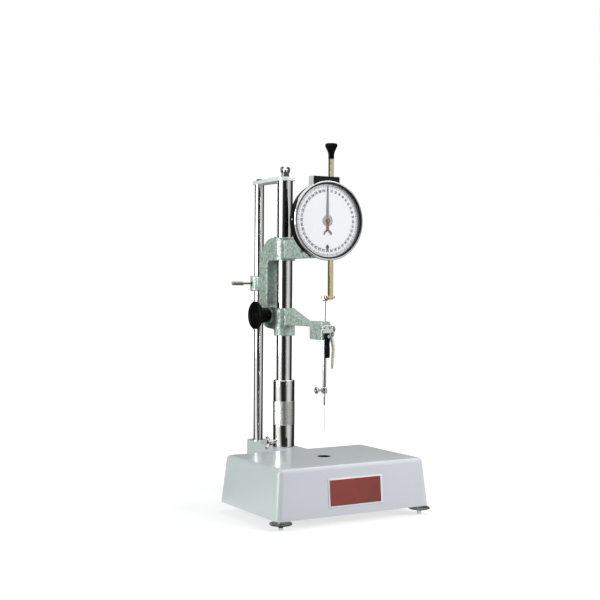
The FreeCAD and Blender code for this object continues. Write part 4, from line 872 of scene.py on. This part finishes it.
THUMB_KNURL = dict(count=144, bite=0.25, press=knurl(teeth=36, depth=0.25, above=5.2))
STEP_HEIGHT, SCREW_RISE = 264.0, 5.5
rod_at, chuck_at = foot_of("plunger_rod"), foot_of("needle_chuck")
long_rod = (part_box("plunger_rod")[1][2] - rod_at[2]) / MM
step_up = STEP_HEIGHT - rod_at[2] / MM
lathe("plunger_bar", [
    (1.62, 0), (3, 0), (3, step_up), (1.6, step_up + 1), (1.6, long_rod), (0, long_rod),
    (0, 7), (1.62, 7), (1.62, 0)], rod_at, "needle_plunger", *PLATED,
    "plunger_rod", count=48, bite=0.2)
lathe("plunger_button", [(0, 0), (3.5, 0), (4.5, 1), (4.5, 3.0), (3.7, 3.7), (0, 3.7)],
      foot_of("plunger_cap"), "needle_plunger", *PLATED, "plunger_cap", count=96,
      press=knurl(teeth=24, depth=0.18, above=4.2))
lathe("chuck_body", [
    (1.62, 0), (3.5, 0), (4.75, 1.5), (4.75, 3.2), (4.55, 3.5), (4.55, 7.5), (4.75, 7.8),
    (4.75, 9), (3.75, 10), (1.62, 10), (1.62, 0)], chuck_at, "needle_plunger",
    *CHROME, "needle_chuck", count=96, bite=0.3)
lathe("chuck_thumbwheel", [
    (0, 1.72), (2, 1.72), (2, 12.5), (5, 12.5), (5.5, 13.0), (5.5, 15.0), (4.9, 15.5),
    (2.5, 15.5), (2.2, 15.2), (0, 15.2)], chuck_at + (0, 0, SCREW_RISE * MM),
    "chuck_thumbscrew", *PLATED, "chuck_screw", axes=LEFT, **THUMB_KNURL)
lathe("needle_shank", [
    (0.52, 0), (1.2, 0), (1.6, 1), (1.6, 34), (0, 34), (0, 8.1), (0.52, 8.1), (0.52, 0)],
    foot_of("needle_ferrule"), "needle_plunger", "plated_steel", needle_steel,
    "needle_ferrule", count=48, bite=0.2)
lathe("needle_point", [(0, 0), (0.08, 0), (0.5, 6.35), (0.5, 51.5), (0, 51.5)],
      foot_of("needle"), "needle_plunger", "plated_steel", needle_steel, "needle",
      count=32, bite=0.05)

# %% Clutch plate, grip, lever and nut
dress("clutch_plate", "carriage", "bright_chrome", flat_chrome, 0.6)
dress("clutch_grip", "carriage", *PLASTIC, 1.1, 24)
dress("release_lever", "release", "lever_cream", cream, 0.9, 24)
lathe("shoe_nut_knurled", [
    (1.42, 14.6), (5, 14.6), (5.5, 15.1), (5.5, 16.3), (5, 16.8), (1.42, 16.8),
    (1.42, 14.6)], NEEDLE + (0, 0, middle("clutch_shoe")[2]), "shoe", *PLATED, "shoe_nut",
    axes=RIGHT, **THUMB_KNURL)

# %% [markdown]
# ## Name plate
# A bare enamelled plate sits on the sloping front. It could be one solid with two paints,
# but a real plate is a white enamelled sheet with a coloured panel fired in, so it is two
# tablets, the panel standing a hair proud. Each is a rounded rectangle carried inwards.

# %% Name plate
SHARPEST = 0.02


def tablet(profile, half_wide, half_high, corner, centre, axes, count=96):
    """A rounded rectangle carried along a profile of (inset, height) in mm. At each inset
    the half sizes shrink by it; a point at angle a lies on the arc round its corner's
    centre, (half wide - bend, half high - bend) + bend (cos a, sin a), and the straight
    sides join the arcs. The first and last insets close on the middle line."""
    inset, height = np.array(profile, float).T[..., None]
    a = np.linspace(0, 2 * math.pi, count, endpoint=False) + math.pi / count
    quarter = np.floor(a / (math.pi / 2)).astype(int) % 4
    wide, high = np.clip(half_wide - inset, 0, None), np.clip(half_high - inset, 0, None)
    bend = np.minimum(np.minimum(np.maximum(corner - inset, SHARPEST), high), wide)
    x = np.array([1, -1, -1, 1])[quarter] * (wide - bend) + bend * np.cos(a)
    z = np.array([1, 1, -1, -1])[quarter] * (high - bend) + bend * np.sin(a)
    u, v, w = np.array(axes, float)
    points = np.asarray(centre) + MM * (x[..., None] * u + z[..., None] * v
                                        + (height + 0 * x)[..., None] * w)
    return points.reshape(-1, 3), grid_faces(len(profile), count)


lean = math.atan(EASED_DRAFT / BASE_HIGH)
SLOPE = ((1, 0, 0), (0, math.sin(lean), math.cos(lean)), (0, -math.cos(lean), math.sin(lean)))
plate_back = middle("name_plate") * (1, 0, 1)
plate_share = (plate_back[2] / MM - BASE_LOW) / BASE_HIGH
plate_back[1] = NEEDLE[1] + MM * (EASED_DRAFT * plate_share - BASE_DEEP)
piece("name_plate_border", [tablet(
    [(21.5, 0.0), (0.4, 0.0), (0, 0.1), (0, 0.62), (0.3, 0.8), (21.5, 0.8)], 47.25, 21.5, 1.6,
    plate_back, SLOPE)], "stand", "plate_red", white_enamel, "name_plate")
piece("name_plate_panel", [tablet(
    [(18.9, 0.5), (0, 0.5), (0, 0.86), (0.15, 0.98), (18.9, 0.98)], 44.65, 18.9, 1.0,
    plate_back, SLOPE)], "stand", "plate_red", red_enamel)

# %% [markdown]
# ## The studio
# The instrument stands on a plain pale floor in soft light. A bright surround is what makes
# chrome look like chrome, so floor and world are bright to the camera and to reflections, and
# dimmer to the rays that only light things. Chrome also needs something dark to show its
# roundness, as black cards beside a studio table do, so a ring wall with dark and light
# fields stands round the set, seen by reflections alone.

# %% Helpers for the studio


def bare_tree(block):
    """The emptied node tree of a new material or world."""
    block.use_nodes = True
    block.node_tree.nodes.clear()
    return block.node_tree


def seen_rays(tree):
    """1 for rays of the camera, of reflections and through glass, 0 for those that light."""
    rays = node(tree, "ShaderNodeLightPath").outputs
    seen = rays["Is Camera Ray"]
    for kind in ("Is Glossy Ray", "Is Transmission Ray"):
        seen = node(tree, "ShaderNodeMath", [(0, seen), (1, rays[kind])],
                    operation="MAXIMUM").outputs[0]
    return seen


def stage_piece(name, points, faces, material):
    """A piece of the set, which isn't part of the instrument."""
    mesh = bpy.data.meshes.new(name)
    mesh.from_pydata(points, [], faces)
    mesh.materials.append(material)
    thing = bpy.data.objects.new(name, mesh)
    bpy.context.scene.collection.objects.link(thing)
    print("set:", name)
    return thing


# %% Floor
FLOOR_HALF, NEAR_GLOW, FAR_GLOW, NEAR, FAR = 30, 0.47, 1.6, 0.70, 1.05
paper = bpy.data.materials.new("pale_floor")
tree = bare_tree(paper)
where = node(tree, "ShaderNodeTexCoord").outputs["Object"]
away = node(tree, "ShaderNodeVectorMath", [(0, where)], operation="LENGTH")
whiter = ramp(tree, away.outputs["Value"], NEAR, FAR, NEAR_GLOW, FAR_GLOW)
lift = node(tree, "ShaderNodeMath", [(0, seen_rays(tree)), (1, whiter)],
            operation="MULTIPLY")
matt = node(tree, "ShaderNodeBsdfDiffuse", [("Color", (0.42, 0.42, 0.42, 1))])
glow = node(tree, "ShaderNodeEmission", [("Strength", lift.outputs[0])])
both = node(tree, "ShaderNodeAddShader", [(0, matt.outputs[0]), (1, glow.outputs[0])])
node(tree, "ShaderNodeOutputMaterial", [("Surface", both.outputs[0])])
corners = [(x * FLOOR_HALF, y * FLOOR_HALF, 0) for x, y in ((-1, -1), (1, -1), (1, 1), (-1, 1))]
stage_piece("floor", corners, [(0, 1, 2, 3)], paper)

# %% World
world = bpy.data.worlds.new("studio")
bpy.context.scene.world = world
tree = bare_tree(world)
strength = node(tree, "ShaderNodeMapRange", [("Value", seen_rays(tree)), ("To Min", 0.22),
                                             ("To Max", 1.0)])
sky = node(tree, "ShaderNodeBackground", [("Color", (1, 1, 1, 1)),
                                          ("Strength", strength.outputs[0])])
node(tree, "ShaderNodeOutputWorld", [("Surface", sky.outputs[0])])
print("world:", world.name)

# %% Ring wall of cards
CARDS = ((0.00, 1.0), (0.03, 0.85), (0.065, 0.30), (0.095, 0.02), (0.205, 0.02),
         (0.235, 0.16), (0.265, 0.50), (0.295, 0.70), (0.345, 0.70), (0.405, 0.42),
         (0.445, 0.10), (0.47, 0.02), (0.58, 0.02), (0.62, 0.14), (0.70, 0.14), (0.74, 0.02),
         (0.865, 0.02), (0.885, 0.20), (0.91, 0.75), (0.93, 1.0), (1.0, 1.0))
card = bpy.data.materials.new("card_fields")
tree = bare_tree(card)
where = node(tree, "ShaderNodeTexCoord").outputs["Object"]
around = node(tree, "ShaderNodeTexGradient", [("Vector", where)], gradient_type="RADIAL")
fields = node(tree, "ShaderNodeValToRGB", [("Fac", around.outputs["Fac"])])
stops = fields.color_ramp.elements
while len(stops) < len(CARDS):
    stops.new(0.5)
for stop, (place, level) in zip(stops, CARDS):
    stop.position = place
    stop.color = (level, level, level, 1)
glow = node(tree, "ShaderNodeEmission", [("Color", fields.outputs["Color"])])
node(tree, "ShaderNodeOutputMaterial", [("Surface", glow.outputs[0])])
turn = np.linspace(0, 2 * math.pi, 96, endpoint=False)
rows = [(0.02, 0.004), (3.9, 0.004), (4.0, 0.02), (4.0, 2.6)]
points = np.vstack([np.stack([r * np.cos(turn), r * np.sin(turn), z + 0 * turn], -1)
                    for r, z in rows])
wall = stage_piece("card_wall", points.tolist(), grid_faces(len(rows), 96).tolist(), card)
for sight in ("camera", "diffuse", "transmission", "shadow", "volume_scatter"):
    setattr(wall, "visible_" + sight, False)

# %% [markdown]
# Three large soft lamps light the set: a faintly green one on the left, a stronger lavender
# one in front to the right, and a weak one overhead for the tops. Point lamps would be
# simpler, but their small hot spots do not look like a studio.

# %% Lamps


def lamp(name, place, aim, size, power, colour, mirrored):
    """An area lamp of a (width, height) at a place, turned to face its aim; mirrored says
    whether metal shows it."""
    light = bpy.data.lights.new(name, "AREA")
    light.shape, light.energy, light.color = "RECTANGLE", power, colour
    light.size, light.size_y = size
    holder = bpy.data.objects.new(name, light)
    bpy.context.scene.collection.objects.link(holder)
    holder.location = place
    holder.rotation_euler = (Vector(aim) - Vector(place)).to_track_quat("-Z", "Y").to_euler()
    holder.visible_glossy = mirrored
    print("lamp:", name, power, "W")


lamp("left_lamp", (-2.6, 0.45, 0.8), (0, 0, 0.25), (1.7, 1.5), 60, (0.90, 1.0, 0.935), True)
lamp("front_lamp", (1.7, -2.3, 1.5), (0, 0, 0.25), (1.8, 1.8), 94, (0.955, 0.95, 1.0), False)
lamp("top_lamp", (1.0, 0.4, 2.8), (0, 0, 0.2), (1.6, 1.6), 24, (0.95, 1.0, 0.97), True)

# %% [markdown]
# ## The camera
# A long lens stands a little above the middle of the instrument, looking level, so that
# upright lines stay upright; a small shift centres the picture instead of a tilt.

# %% Camera
sight = bpy.data.cameras.new("bench_camera")
sight.lens, sight.sensor_width = 69.0, 36.0
sight.shift_x, sight.shift_y = -0.0417, -0.0248
sight.clip_start, sight.clip_end = 0.05, 100.0
viewer = bpy.data.objects.new("bench_camera", sight)
bpy.context.scene.collection.objects.link(viewer)
viewer.location = (-0.9236, -1.5945, 0.3522)
level = Vector((0.5179, 0.8555, 0)).to_track_quat("-Z", "Y")
viewer.rotation_euler = (level.to_matrix() @ Matrix.Rotation(0.006, 3, "Z")).to_euler()
bpy.context.scene.camera = viewer
bpy.context.scene.view_settings.view_transform = "Standard"
print("camera:", sight.lens, "mm lens at", tuple(viewer.location))
